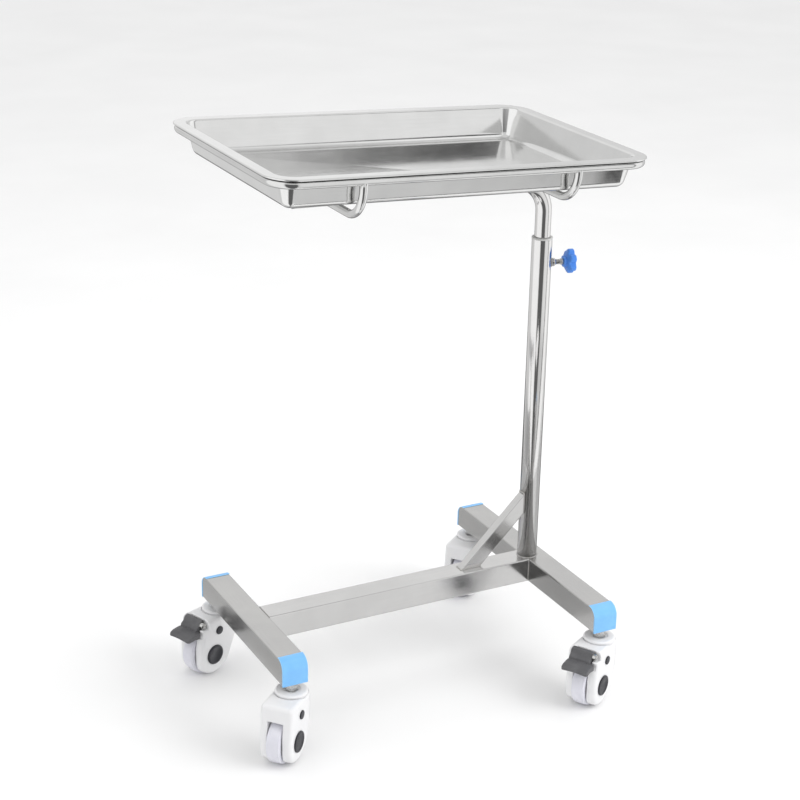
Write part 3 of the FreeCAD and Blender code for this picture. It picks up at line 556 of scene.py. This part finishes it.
def end_cap_mesh():
    """Cap with its outer face at y 0, over the round top corner of a beam, centred on x 0."""
    arc, wall, lip = 18.0, 3.0, 0.7

    def field(x, y, z):
        outer = corner_field(y + arc, z - (BASE_TOP + lip - arc), arc)
        inner = corner_field(y + arc, z - (BASE_TOP - arc + wall), arc - wall)
        shell = meet(outer, -inner, 0.25)
        shell = meet(shell, np.abs(x) - 20.6, 0.8)
        return meet(shell, np.maximum(BASE_BOTTOM - 0.2 - z, -20.0 - y), 0.6)
    return mesh_from("end_cap", *field_mesh(field, (-22, -21.5, 116), (22, 1.5, 160.5), 0.55))


CAP_MESH = end_cap_mesh()
for side, half in BEAM_HALF.items():
    x = BEAM_X if side == "right" else -BEAM_X
    far = shifted(x, half)
    near = shifted(x, -half) @ Matrix.Rotation(math.pi, 4, "Z")
    for end, place in (("far", far), ("near", near)):
        name = f"{side}_{end}_end_cap"
        piece(name, CAP_MESH, "base_frame", CAP_BLUE, (name,), place)


def caster_frame(name):
    """Place and heading of a caster: x along its trail, origin on the floor under its stem."""
    low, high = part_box(name + "_stem")
    axis = Vector(joints[name + "_roll"]["axis"])
    heading = math.atan2(-axis.x, axis.y)
    middle = (low + high) / 2
    return Matrix.Translation((middle.x, middle.y, 0)) @ Matrix.Rotation(heading, 4, "Z")


def stem_nut_parts():
    """One hex nut with chamfered ends, a spring washer and a flat washer, about z."""
    def nut(x, y, z):
        sides = np.max([np.abs(x * math.cos(a) + y * math.sin(a)) for a in np.radians((0, 60, 120))], 0) - 9.0
        middle = np.abs(z - 109.2) - 5.0
        cone = (np.hypot(x, y) * 0.5 + middle - 4.75) * 0.894
        return meet(meet(sides, middle, 0.3), cone, 0.3)
    washer = rounded_profile([(6.1, 0), (10.4, 0, 0.4), (10.4, 1.7, 0.4), (6.1, 1.7)], 3)
    plate = rounded_profile([(6.1, 0), (12.6, 0, 0.5), (12.6, 2.0, 0.5), (6.1, 2.0)], 3)
    return [
        field_mesh(nut, (-11.5, -11.5, 103.4), (11.5, 11.5, 115), 0.45),
        turned(washer, (0, 0, 114.25), (0, 0, 1), 48, closed=True),
        turned(plate, (0, 0, 115.98), (0, 0, 1), 48, closed=True),
    ]


nut_points, nut_faces = merged(stem_nut_parts())
all_nuts = []
for name in CASTERS:
    at = LAYOUT.inverted() @ caster_frame(name)
    turn = np.array(at.to_3x3())
    move = np.array(at.translation) / MM
    all_nuts.append(((np.array(nut_points) @ turn.T + move), nut_faces))
piece("stem_nuts", mesh_from("stem_nuts", *merged(all_nuts)), "base_frame", SCREW_STEEL,
      ("stem_nuts",))


def brace_mesh():
    """Rectangular bar at 45 degrees, cut to the beam at its foot and to the mast at its head."""
    half_width = BRACE_RUN / math.sqrt(8)

    def field(x, y, z):
        across = ((z - BASE_TOP) - (x - BRACE_FOOT)) / math.sqrt(2) - half_width
        bar = meet(np.abs(across) - half_width, np.abs(y) - BRACE_HALF, 1.6)
        cut = np.maximum(BASE_TOP - z, MAST_RADIUS - 0.3 - np.hypot(x - MAST_X, y))
        return np.maximum(np.maximum(bar, cut), x - MAST_X)
    return mesh_from("brace", *field_mesh(field, (109, -9, 156.5), (228, 9, 276), 0.9))


piece("brace", brace_mesh(), "base_frame", LIT_BEAM_STEEL, ("brace",))


def rippled(k):
    return 1 + 0.13 * math.sin(k * 1.9) + 0.07 * math.sin(k * 4.3 + 1)


def bead(path, radius, closed=False):
    """A weld bead: a lumpy bar along a finely divided path."""
    path = [np.array(p, float) for p in path]
    ends = path[1:] + ([path[0]] if closed else [])
    fine = []
    for a, b in zip(path, ends):
        count = max(1, int(np.linalg.norm(b - a) / 0.8))
        fine.extend(a + (b - a) * i / count for i in range(count))
    if not closed:
        fine.append(path[-1])
    return swept(fine, radius, 12, closed, rippled)


def circle_path(centre, direction, radius, count=72):
    points = turned([(radius, 0.0), (radius, 1.0)], centre, direction, count)[0]
    return points[:count]


clamp_way = np.array((math.cos(CLAMP_TURN), math.sin(CLAMP_TURN), 0))


def from_mast(reach):
    """A point on the clamp's axis at a reach from the mast's middle."""
    return np.array((MAST_X, 0, CLAMP_HEIGHT)) + clamp_way * reach


def brace_foot_path():
    low, high, side, level = BRACE_FOOT - BRACE_RUN - 0.4, BRACE_FOOT, BRACE_HALF + 0.1, BASE_TOP + 0.3
    return [(low, -side, level), (high, -side, level), (high, side, level), (low, side, level)]


def brace_head_path():
    """Round the brace's upper end, where it meets the mast."""
    mast_side = MAST_X - math.sqrt(MAST_RADIUS ** 2 - BRACE_HALF ** 2)
    low = BASE_TOP + mast_side - BRACE_FOOT
    high = low + BRACE_RUN
    edge, side, middle = mast_side - 0.3, BRACE_HALF + 0.3, MAST_X - MAST_RADIUS - 0.2
    return [(edge, -side, low), (edge, -side, high), (middle, 0, high + 1.5),
            (edge, side, high), (edge, side, low), (middle, 0, low - 1.5)]


base_beads = [
    bead(circle_path((MAST_X, 0, BASE_TOP + 0.2), (0, 0, 1), MAST_RADIUS + 0.2), 1.25, True),
    bead(brace_foot_path(), 1.0, True),
    bead(brace_head_path(), 0.9, True),
    bead(circle_path(from_mast(MAST_RADIUS + 0.2), clamp_way, 6.7, 48), 0.9, True),
]
for sx in (-1, 1):
    face_x = sx * (BEAM_X - TUBE / 2)
    for sy in (-1, 1):
        corner_x, corner_y = face_x - sx * 0.2, sy * 19.6
        path = [(corner_x, corner_y, BASE_BOTTOM + 1), (corner_x, corner_y, BASE_TOP - 1.5)]
        base_beads.append(bead(path, 0.9))
    base_beads.append(bead([(face_x, -18.5, BASE_TOP - 0.25), (face_x, 18.5, BASE_TOP - 0.25)], 0.75))
piece("base_weld_beads", mesh_from("base_weld_beads", *merged(base_beads)), "base_frame", WELD)

# --- mast, clamp and post -----------------------------------------------------------------------

mast_height = MAST_TOP - BASE_TOP
mast_profile = rounded_profile([
    (MAST_BORE, 0), (MAST_RADIUS, 0), (MAST_RADIUS, mast_height, 0.5), (MAST_BORE, mast_height, 0.3),
    (MAST_BORE, 0),
], 4)
piece("mast_tube", mesh_from("mast_tube", *turned(mast_profile, (MAST_X, 0, BASE_TOP), (0, 0, 1), 96, True)),
      "base_frame", TUBE_STEEL, ("mast_tube",))
bush_profile = rounded_profile([
    (12.56, -30), (14.46, -30), (14.46, 0), (16.5, 0, 0.2), (16.5, 2.5, 1.1), (12.56, 2.5, 0.4), (12.56, -30),
], 4)
piece("mast_bush", mesh_from("mast_bush", *turned(bush_profile, (MAST_X, 0, MAST_TOP), (0, 0, 1), 96, True)),
      "base_frame", NYLON, ("mast_bush",))
boss_profile = rounded_profile([
    (0, 14.6), (6.5, 14.6), (6.5, 21.2, 0.8), (4.9, 23.4, 0.5), (4.3, 24.0, 0.2), (4.06, 24.0),
    (4.06, 22), (0, 22),
], 4)
piece("clamp_boss", mesh_from("clamp_boss", *turned(boss_profile, from_mast(0), clamp_way, 64)),
      "base_frame", TUBE_STEEL, ("clamp_boss",))
screw_profile = rounded_profile([
    (0, 16.6), (3.2, 16.6), (4.0, 17.4), (4.0, 31.5, 0.3), (4.9, 32.2, 0.4), (4.9, 35.9, 0.3),
    (3.9, 36.2), (3.9, 47.5), (0, 47.5),
], 3)
piece("clamp_screw", mesh_from("clamp_screw", *turned(screw_profile, from_mast(0), clamp_way, 48)),
      "clamp_knob", SCREW_STEEL, ("clamp_screw",))


def knob_mesh():
    """Star knob about the x axis: six shallow lobes, a cone at the back, a dished front."""
    def field(x, y, z):
        star = np.hypot(y, z) - 13.2
        for k in range(6):
            angle = math.pi / 3 * (k + 0.5)
            lobe = np.hypot(y - 13.0 * math.cos(angle), z - 13.0 * math.sin(angle)) - 6.6
            star = join(star, lobe, 3.0)
        plate = meet(star, np.abs(x - 46.4) - 6.8, 2.2)
        cone = (np.hypot(y, z) - (9.0 + np.clip(x - 38.2, 0, 20) * 1.7)) * 0.55
        knob = meet(plate, cone, 1.2)
        hub = meet(np.hypot(y, z) - 9.0, np.abs(x - 40.5) - 4.5, 0.7)
        knob = join(knob, hub, 1.0)
        dish = np.maximum(np.hypot(y, z) - 9.0 - (x - 51) * 0.5, 51.2 - x)
        knob = meet(knob, -dish, 0.8)
        return meet(knob, -np.maximum(np.hypot(y, z) - 4.2, x - 47.9), 0.4)
    return mesh_from("clamp_knob", *field_mesh(field, (35, -22, -22), (54, 22, 22), 0.55))


knob_place = shifted(MAST_X, 0, CLAMP_HEIGHT) @ Matrix.Rotation(CLAMP_TURN, 4, "Z")
piece("clamp_knob", knob_mesh(), "clamp_knob", KNOB_BLUE, ("clamp_knob",), knob_place)

TRAY_PLACE = shifted(TRAY_X, 0, TRAY_HEIGHT) @ Matrix.Rotation(TRAY_TILT, 4, "Y")


def tray_point(x, y, z):
    """Layout place of a point of the flat tray layout."""
    c, s = math.cos(TRAY_TILT), math.sin(TRAY_TILT)
    return np.array((x * c + z * s + TRAY_X, y, z * c - x * s + TRAY_HEIGHT))


def arm_level(x):
    """Height of the arm's middle in the flat tray layout."""
    return x * math.tan(ARM_SAG) - ARM_DROP


arm_end = tray_point(ARM_END_X, 0, arm_level(ARM_END_X))
arm_way = arm_end - tray_point(0, 0, arm_level(0))
arm_way /= np.linalg.norm(arm_way)
arm_corner = arm_end - arm_way * ((arm_end[0] - MAST_X) / arm_way[0])
tangent = BEND_RADIUS * math.tan(math.acos(arm_way[2]) / 2)
bend_start = arm_corner - np.array((0, 0, tangent))
bend_end = arm_corner + arm_way * tangent
bend_centre = bend_start - np.array((BEND_RADIUS, 0, 0))
post_path = [(MAST_X, 0, POST_FOOT)] + arc_points(bend_centre, bend_start, bend_end, 28) + [arm_end]
piece("post", mesh_from("post", *swept(post_path, POST_RADIUS, 96)),
      "post_arm", TUBE_STEEL, ("post",))
plug_profile = rounded_profile([
    (0, -14), (10.9, -14), (10.9, 0), (12.5, 0, 0.2), (12.5, 2.5, 1.2), (7, 2.9, 2), (0, 2.9),
], 4)
piece("arm_end_plug", mesh_from("arm_end_plug", *turned(plug_profile, arm_end, arm_way, 64)),
      "post_arm", PLUG_GREY, ("arm_end_plug",))

# --- tray and its support -----------------------------------------------------------------------


def rounded_rectangle(inset, z, corner_steps=14, side_steps=10):
    """Points round the tray's outline at an inset from its rim."""
    radius = max(TRAY_CORNER - inset, 0.5)
    reach_x, reach_y = TRAY_HALF[0] - inset - radius, TRAY_HALF[1] - inset - radius
    centres = [(reach_x, reach_y), (-reach_x, reach_y), (-reach_x, -reach_y), (reach_x, -reach_y)]

    def on_corner(centre, quarters):
        angle = math.pi / 2 * quarters
        return centre[0] + radius * math.cos(angle), centre[1] + radius * math.sin(angle)

    points = []
    for k, centre in enumerate(centres):
        points.extend((*on_corner(centre, k + i / corner_steps), z) for i in range(corner_steps + 1))
        last = on_corner(centre, k + 1)
        following = on_corner(centres[(k + 1) % 4], k + 1)
        for i in range(1, side_steps):
            t = i / side_steps
            points.append((last[0] + (following[0] - last[0]) * t, last[1] + (following[1] - last[1]) * t, z))
    return points


def tray_mesh():
    """Pressed tray: floor, cove, wall that leans outward, flat flange with a hemmed rim."""
    floor = TRAY_SHEET - TRAY_DEPTH
    outward = np.array((-math.cos(WALL_LEAN), 0, -math.sin(WALL_LEAN)))
    downward = np.array((math.sin(WALL_LEAN), 0, -math.cos(WALL_LEAN)))
    bend_middle = np.array((FLANGE_FLAT, 0, -FLANGE_BEND))
    wall_top = bend_middle - outward * FLANGE_BEND
    rise = COVE_RADIUS * (1 - math.sin(WALL_LEAN))
    wall_foot = wall_top + downward * ((wall_top[2] - floor - rise) / math.cos(WALL_LEAN))
    cove_middle = wall_foot - outward * COVE_RADIUS
    cove_in, sheet = cove_middle[0], outward * TRAY_SHEET
    top = arc_points(cove_middle, (cove_in, 0, floor), wall_foot, 12)
    top += arc_points(bend_middle, wall_top, (FLANGE_FLAT, 0, 0), 8)
    top += [(8.0, 0, -0.05), (3.5, 0, -0.02)]
    top += arc_points((1.4, 0, -1.4), (1.4, 0, 0), (0, 0, -1.4), 5)
    top += arc_points((1.4, 0, -1.4), (0, 0, -1.4), (1.4, 0, -2.8), 5)[1:]
    top += [(3.4, 0, -2.7), (4.0, 0, -1.9), (4.4, 0, -TRAY_SHEET)]
    under = arc_points(bend_middle, (FLANGE_FLAT, 0, -TRAY_SHEET), wall_top + sheet, 6)
    under += arc_points(cove_middle, wall_foot + sheet, (cove_in, 0, -TRAY_DEPTH), 12)
    rows, points, faces = [], [], []
    for inset, _, z in [tuple(p) for p in top + under]:
        row = rounded_rectangle(inset, z)
        rows.append(range(len(points), len(points) + len(row)))
        points.extend(row)
    count = len(rows[0])
    for low, high in zip(rows, rows[1:]):
        for k in range(count):
            n = (k + 1) % count
            faces.append((low[k], high[k], high[n], low[n]))
    faces.append(tuple(rows[0]))
    faces.append(tuple(reversed(rows[-1])))
    return mesh_from("tray", points, faces)


piece("tray", tray_mesh(), "tray", TRAY_STEEL, ("tray",), TRAY_PLACE)

ring_path = rounded_rectangle(RING_INSET, RING_Z, 20, 4)
piece("support_ring", mesh_from("support_ring", *swept(ring_path, RING_RADIUS, 40, True)),
      "post_arm", RING_STEEL, ("support_ring",), TRAY_PLACE)

rod_y = TRAY_HALF[1] - RING_INSET
turn_y = rod_y - ROD_BEND
support_beads = []
for side, x in ROD_X.items():
    run_z = arm_level(x) + POST_RADIUS + ROD_RADIUS
    bend_z = run_z + ROD_BEND
    path = [(x, -rod_y, RING_Z)]
    path += arc_points((x, -turn_y, bend_z), (x, -rod_y, bend_z), (x, -turn_y, run_z), 18)
    path += arc_points((x, turn_y, bend_z), (x, turn_y, run_z), (x, rod_y, bend_z), 18)
    path += [(x, rod_y, RING_Z)]
    name = f"{side}_cross_rod"
    piece(name, mesh_from(name, *swept(path, ROD_RADIUS)),
          "post_arm", BAR_STEEL, (name,), TRAY_PLACE)
    for sx in (-1, 1):
        end_x, lift = x + sx * 5.0, run_z - 4.6
        path = [(end_x, -6.5, lift), (x + sx * 5.6, 0, lift + 0.6), (end_x, 6.5, lift)]
        support_beads.append(bead(path, 1.7))
piece("support_weld_beads", mesh_from("support_weld_beads", *merged(support_beads)),
      "post_arm", WELD, (), TRAY_PLACE)

# --- casters ------------------------------------------------------------------------------------


def pressed(outline):
    """A side outline of the pedal, turned down about its pin as far as it goes."""
    c, s = math.cos(BRAKE_PRESS), math.sin(BRAKE_PRESS)
    turned_down = []
    for x, z in outline:
        out, up = x - PIN_OUT, z - PIN_UP
        turned_down.append((PIN_OUT + out * c + up * s, PIN_UP + up * c - out * s))
    return turned_down


def fork_mesh(braked):
    """White housing: a round head over the stem, two bulged cheeks round the wheel."""
    outline = [(-20, 92), (46.4, 92), (52.8, 54), (40, 30), (10.4, 24.0), (-20, 73.0)]
    trims = ((TRAIL, AXLE_Z, 16.75), (*SMALL_TRIM, 7.25))

    def field(x, y, z):
        width = np.abs(y)
        cheek = np.hypot(x - TRAIL, z - AXLE_Z) - 33.6
        head = polygon_field(x, z, outline, 8.0)
        body = meet(join(cheek, head, 5.0), width - FORK_HALF, 8.0)
        front = corner_field(x - 49.0, width - 16.0, 12.0)
        plan = np.where(x < 0, np.hypot(x, y) - FORK_HALF, front)
        body = meet(body, plan, 5.0)
        room = np.minimum(np.hypot(x - TRAIL, z - AXLE_Z) - 40.0, np.maximum(TRAIL - x, z - 76.0))
        room = np.minimum(room, np.maximum(np.maximum(-11.0 - x, x - TRAIL - 1), z - 74.0))
        body = meet(body, -np.maximum(room, width - 12.5), 1.1)
        body = meet(body, -np.maximum(np.hypot(x, y) - 26.3, 97.0 - z), 0.7)
        for cx, cz, radius in trims:
            body = meet(body, -np.maximum(np.hypot(x - cx, z - cz) - radius, 26.4 - width), 0.45)
        if braked:
            pocket = np.maximum(np.maximum(42.0 - x, 74.0 - z), width - 16.2)
            body = meet(body, -pocket, 0.8)
            notch = np.maximum(np.maximum(43.5 - x, 86.5 - z), np.maximum(-18.0 - y, y - 40.0))
            body = meet(body, -notch, 1.6)
            wide = np.maximum(np.abs(y + PEDAL_SHIFT) - 18.4, np.minimum(86.0 - z, 55.0 - x))
            block_room = np.maximum(polygon_field(x, z, pressed(PEDAL_BLOCK), 2.3), wide)
            tread_side = polygon_field(x, z + PEDAL_DROOP * y ** 2, pressed(PEDAL_TREAD), 2.3)
            tread_room = np.maximum(tread_side, width - 23.4)
            body = meet(body, -np.minimum(block_room, tread_room), 0.8)
        return body
    name = "braked_fork" if braked else "plain_fork"
    return mesh_from(name, *field_mesh(field, (-30, -30, 2), (64, 30, 102), 1.0))


def pedal_mesh():
    """Stepped pedal: a block that covers the pin on one side, and a wider tread in front."""
    def field(x, y, z):
        side = polygon_field(x, z, PEDAL_BLOCK, 1.5)
        between = np.abs(y) - 15.4
        over = np.maximum(np.abs(y + PEDAL_SHIFT) - 17.6, np.minimum(87.6 - z, 58.0 - x))
        upper = meet(side, np.minimum(between, over), 1.6)
        drop = z + PEDAL_DROOP * y ** 2
        plan = corner_field(np.abs(x - 71.0) - 10.0, np.abs(y) - 17.6, 4.8)
        lower = meet(polygon_field(x, drop, PEDAL_TREAD, 1.4), plan, 1.2)
        return np.minimum(upper, lower)
    return mesh_from("brake_pedal", *field_mesh(field, (42, -24, 70), (88, 24, 101), 0.6))


def shoe_mesh():
    """Small black shoe under the pedal, over the tread of the wheel."""
    outline = [(49.5, 85.0), (59.0, 80.5), (59.6, 77.5), (56.8, 73.6), (55.2, 72.6), (52.0, 76.0)]

    def field(x, y, z):
        return meet(polygon_field(x, z, outline, 0.8), np.abs(y) - 8.5, 1.0)
    return mesh_from("brake_shoe", *field_mesh(field, (47, -10, 70), (62, 10, 88), 0.6))


def pin_mesh():
    """Pin through the pedal, with a domed screw head on one side."""
    head = rounded_profile([
        (0, 15.8), (4.9, 15.8, 0.3), (4.9, 21.2, 1.8), (2.3, 23.4, 0.8), (1.8, 23.2), (1.6, 21.8), (0, 21.8),
    ], 4)
    pin = rounded_profile([(0, -18.6), (2.4, -18.6, 0.4), (2.4, 16.6), (0, 16.6)], 3)
    parts = [turned(profile, (PIN_OUT, 0, PIN_UP), (0, 1, 0), 40) for profile in (pin, head)]
    return mesh_from("pedal_pin", *merged(parts))


def trim_mesh():
    """Black caps on both cheeks, a large one over the axle and a small one above it."""
    large = rounded_profile([
        (0, 26.5), (16.4, 26.5), (16.4, 28.4, 0.8), (13.2, 29.0, 0.3), (12.9, 28.7), (0, 28.9),
    ], 4)
    small = rounded_profile([(0, 26.5), (6.9, 26.5), (6.9, 28.3, 0.8), (0, 28.9)], 4)
    parts = []
    for sy in (-1, 1):
        parts.append(turned(large, (TRAIL, 0, AXLE_Z), (0, sy, 0), 64))
        parts.append(turned(small, (SMALL_TRIM[0], 0, SMALL_TRIM[1]), (0, sy, 0), 40))
    return mesh_from("trim_caps", *merged(parts))


def tyre_mesh():
    """Tread with round shoulders and a slight crown."""
    half = [(28.6, 10.0), (30.0, 11.0, 0.6), (34.5, 11.0, 1.5), (36.9, 9.6, 2.0), (37.45, 4.0, 3.0)]
    other_half = [(radius, -side, *rounding) for radius, side, *rounding in half]
    profile = rounded_profile(other_half + half[::-1])
    return mesh_from("tyre", *turned(profile, (TRAIL, 0, AXLE_Z), (0, 1, 0), 128, True))


def disc_mesh():
    """Cover disc with a rolled rim and a shallow collar about the stem."""
    profile = rounded_profile([
        (6.1, 97.4), (24.6, 97.4, 0.5), (25.1, 102.0, 1.6), (22.6, 104.0, 1.6), (14.0, 104.2, 0.6),
        (13.2, 103.5, 0.6), (6.1, 103.5),
    ])
    return mesh_from("cover_disc", *turned(profile, (0, 0, 0), (0, 0, 1), 96, True))


shared = {
    "plain_fork": fork_mesh(False),
    "braked_fork": fork_mesh(True),
    "pedal": pedal_mesh(),
    "shoe": shoe_mesh(),
    "pin": pin_mesh(),
    "trim": trim_mesh(),
    "tyre": tyre_mesh(),
    "disc": disc_mesh(),
}


def caster_piece(caster, part, shape, body, material, stands_in=True):
    """A copy of a shared shape, set in its place on one caster."""
    name = f"{caster}_{part}"
    mesh = shape.copy()
    mesh.transform(caster_frame(caster))
    piece(name, mesh, body, material, (name,) if stands_in else (), STRAIGHT)


for name in CASTERS:
    braked = name in BRAKED
    rides = name + "_caster"
    fork = shared["braked_fork" if braked else "plain_fork"]
    caster_piece(name, "fork", fork, rides, WHITE)
    caster_piece(name, "trim_caps", shared["trim"], rides, BLACK)
    caster_piece(name, "tyre", shared["tyre"], name + "_wheel", TYRE_GREY)
    caster_piece(name, "cover_disc", shared["disc"], "base_frame", WHITE)
    if braked:
        caster_piece(name, "brake_pedal", shared["pedal"], name + "_brake", PEDAL_GREY)
        caster_piece(name, "brake_shoe", shared["shoe"], name + "_brake", BLACK, False)
        caster_piece(name, "pedal_pin", shared["pin"], rides, SCREW_STEEL)

# --- CAD nodes that show as they are ------------------------------------------------------------

cad_materials = {
    "long_beam": LIT_BEAM_STEEL,
    "left_cross_beam": SHADED_BEAM_STEEL,
    "right_cross_beam": SHADED_BEAM_STEEL,
    "weld_nuts": SCREW_STEEL,
    "clamp_shoe": BRASS,
    "post_guide": NYLON,
    "post_foot_plug": PLUG_GREY,
}
for name in CASTERS:
    cad_materials[name + "_stem"] = SCREW_STEEL
    cad_materials[name + "_axle"] = SCREW_STEEL
    cad_materials[name + "_bearings"] = SCREW_STEEL
    cad_materials[name + "_hub"] = HUB_GREY
for name, material in cad_materials.items():
    nodes[name].data.materials.clear()
    nodes[name].data.materials.append(material)

# --- floor, light and camera --------------------------------------------------------------------


def grey(value):
    return (value, value, value)


def stage_material(name, low, high):
    paint = Paint(name)
    clouds = paint.spread(paint.noise(400.0, 3.0, 0.5), 0, 1, 0.3, 0.7)
    paint.set(Base_Color=paint.blend(clouds, grey(low), grey(high)), Roughness=0.6)
    paint.bump((paint.noise(2.0, 3.0, 0.5), 0.02),)
    return paint.material


def stage_sheet(name, boxes, level, low, high):
    """Level rectangles, each (left, near, right, far) in metres, with cloudy greys from low to high."""
    points, faces = [], []
    for left, near, right, far in boxes:
        start = len(points)
        points += [(left, near, level), (right, near, level), (right, far, level), (left, far, level)]
        faces.append((start, start + 1, start + 2, start + 3))
    mesh = bpy.data.meshes.new(name)
    mesh.from_pydata(points, [], faces)
    mesh.materials.append(stage_material(name, low, high))
    sheet = bpy.data.objects.new(name, mesh)
    bpy.context.scene.collection.objects.link(sheet)
    return sheet


def reflected_card(name, boxes, low, high):
    """Rectangles just above the floor that only reflections show."""
    card = stage_sheet(name, boxes, 0.0005, low, high)
    for way in ("camera", "diffuse", "transmission", "shadow", "volume_scatter"):
        setattr(card, "visible_" + way, False)


floor = stage_sheet("floor", ((-60, -60, 60, 60),), 0.0, 0.90, 0.93)
floor.visible_glossy = False
# A darker strip behind each cross beam, and a pale card in front of the foot of the mast.
reflected_card("grey_card", ((-0.52, 0.04, -0.34, 0.62), (-0.03, 0.04, 0.15, 0.62)), 0.46, 0.54)
reflected_card("pale_card", ((-0.20, -0.78, 0.06, -0.42),), 0.90, 0.94)


def area_light(name, place, target, size, watts):
    data = bpy.data.lights.new(name, "AREA")
    data.shape = "RECTANGLE"
    data.size, data.size_y = size
    data.energy = watts
    light = bpy.data.objects.new(name, data)
    bpy.context.scene.collection.objects.link(light)
    light.location = place
    light.visible_glossy = False
    light.rotation_euler = (Vector(target) - Vector(place)).to_track_quat("-Z", "Y").to_euler()


area_light("key", (2.2, -2.4, 2.4), (0.5, -0.8, 0.1), (2.0, 2.0), 60)
area_light("top", (0.2, 0.2, 3.4), (0, 0, 0.3), (3.0, 3.0), 26)

BACKDROP = 0.93
BASE_LIGHT = 0.80
# Panels: middle and half width round z in degrees from +X, softness, lower and upper elevation,
# softness, and what they add to the light.
PANELS = (
    (85, 25, 4, 4, 18, 2, 0.22),
    (80, 40, 5, 20, 45, 3, 0.18),
    (248, 24, 3, -100, 25, 6, -0.66),
    (62, 27, 4, -100, 0, 2, -0.55),
    (317, 9, 2, 27, 48, 4, -0.80),
    (300, 22, 5, -100, -32, 8, -0.25),
    (184, 38, 6, -100, 60, 5, 0.40),
    (296, 18, 6, -100, 60, 5, 0.20),
    (318, 2.6, 1.3, -100, 20, 4, -0.60),
    (345, 20, 5, -100, 60, 5, 0.40),
)


def studio_world():
    """A plain pale backdrop to the camera, and soft panels round the object for everything else."""
    world = bpy.data.worlds.new("studio")
    world.use_nodes = True
    tree = world.node_tree

    def put(socket, value):
        if isinstance(value, bpy.types.NodeSocket):
            tree.links.new(value, socket)
        else:
            socket.default_value = value

    def sum_of(operation, *values):
        made = tree.nodes.new("ShaderNodeMath")
        made.operation = operation
        for socket, value in zip(made.inputs, values):
            put(socket, value)
        return made.outputs[0]

    def step_at(value, edge, soft):
        made = tree.nodes.new("ShaderNodeMapRange")
        made.interpolation_type = "SMOOTHSTEP"
        put(made.inputs["Value"], value)
        made.inputs["From Min"].default_value = edge - soft
        made.inputs["From Max"].default_value = edge + soft
        return made.outputs["Result"]

    way = tree.nodes.new("ShaderNodeSeparateXYZ")
    put(way.inputs[0], tree.nodes.new("ShaderNodeTexCoord").outputs["Generated"])
    round_angle = sum_of("MULTIPLY", sum_of("ARCTAN2", way.outputs[1], way.outputs[0]), 180 / math.pi)
    up_angle = sum_of("MULTIPLY", sum_of("ARCSINE", way.outputs[2]), 180 / math.pi)
    light = BASE_LIGHT
    for centre, half, soft, low, high, blur, amount in PANELS:
        off = sum_of("ABSOLUTE", sum_of("WRAP", sum_of("SUBTRACT", round_angle, centre), 180.0, -180.0))
        across = sum_of("SUBTRACT", 1.0, step_at(off, half, soft))
        below = sum_of("SUBTRACT", 1.0, step_at(up_angle, high, blur))
        upward = sum_of("MULTIPLY", step_at(up_angle, low, blur), below)
        light = sum_of("ADD", light, sum_of("MULTIPLY", sum_of("MULTIPLY", across, upward), amount))
    seen = tree.nodes.new("ShaderNodeLightPath").outputs["Is Camera Ray"]
    mix = tree.nodes.new("ShaderNodeMix")
    put(mix.inputs[0], seen)
    put(mix.inputs[2], light)
    mix.inputs[3].default_value = BACKDROP
    background = next(n for n in tree.nodes if n.type == "BACKGROUND")
    background.inputs["Color"].default_value = (1, 1, 1, 1)
    put(background.inputs["Strength"], mix.outputs[0])
    return world


bpy.context.scene.world = studio_world()
bpy.context.scene.view_settings.view_transform = "Standard"

# The camera: its place in the layout, its heading about z, how far it looks down, and its roll.
CAMERA_SPOT = (-1227.175, -2313.266, 1502.181)
CAMERA_HEADING, CAMERA_DROP, CAMERA_ROLL = (math.radians(angle) for angle in (-27.884, 21.497, 1.168))
back = Vector((
    math.sin(CAMERA_HEADING) * math.cos(CAMERA_DROP),
    -math.cos(CAMERA_HEADING) * math.cos(CAMERA_DROP),
    math.sin(CAMERA_DROP),
))
right = (-back).cross(Vector((0, 0, 1))).normalized()
up = right.cross(-back)
camera_x = right * math.cos(CAMERA_ROLL) + up * math.sin(CAMERA_ROLL)
camera_y = up * math.cos(CAMERA_ROLL) - right * math.sin(CAMERA_ROLL)
camera_data = bpy.data.cameras.new("camera")
camera_data.sensor_width = 36.0
camera_data.lens = 82.4076
camera_data.clip_end = 200
camera = bpy.data.objects.new("camera", camera_data)
bpy.context.scene.collection.objects.link(camera)
turn = Matrix((camera_x, camera_y, back)).transposed().to_4x4()
camera.matrix_world = shifted(*CAMERA_SPOT) @ turn
bpy.context.scene.camera = camera
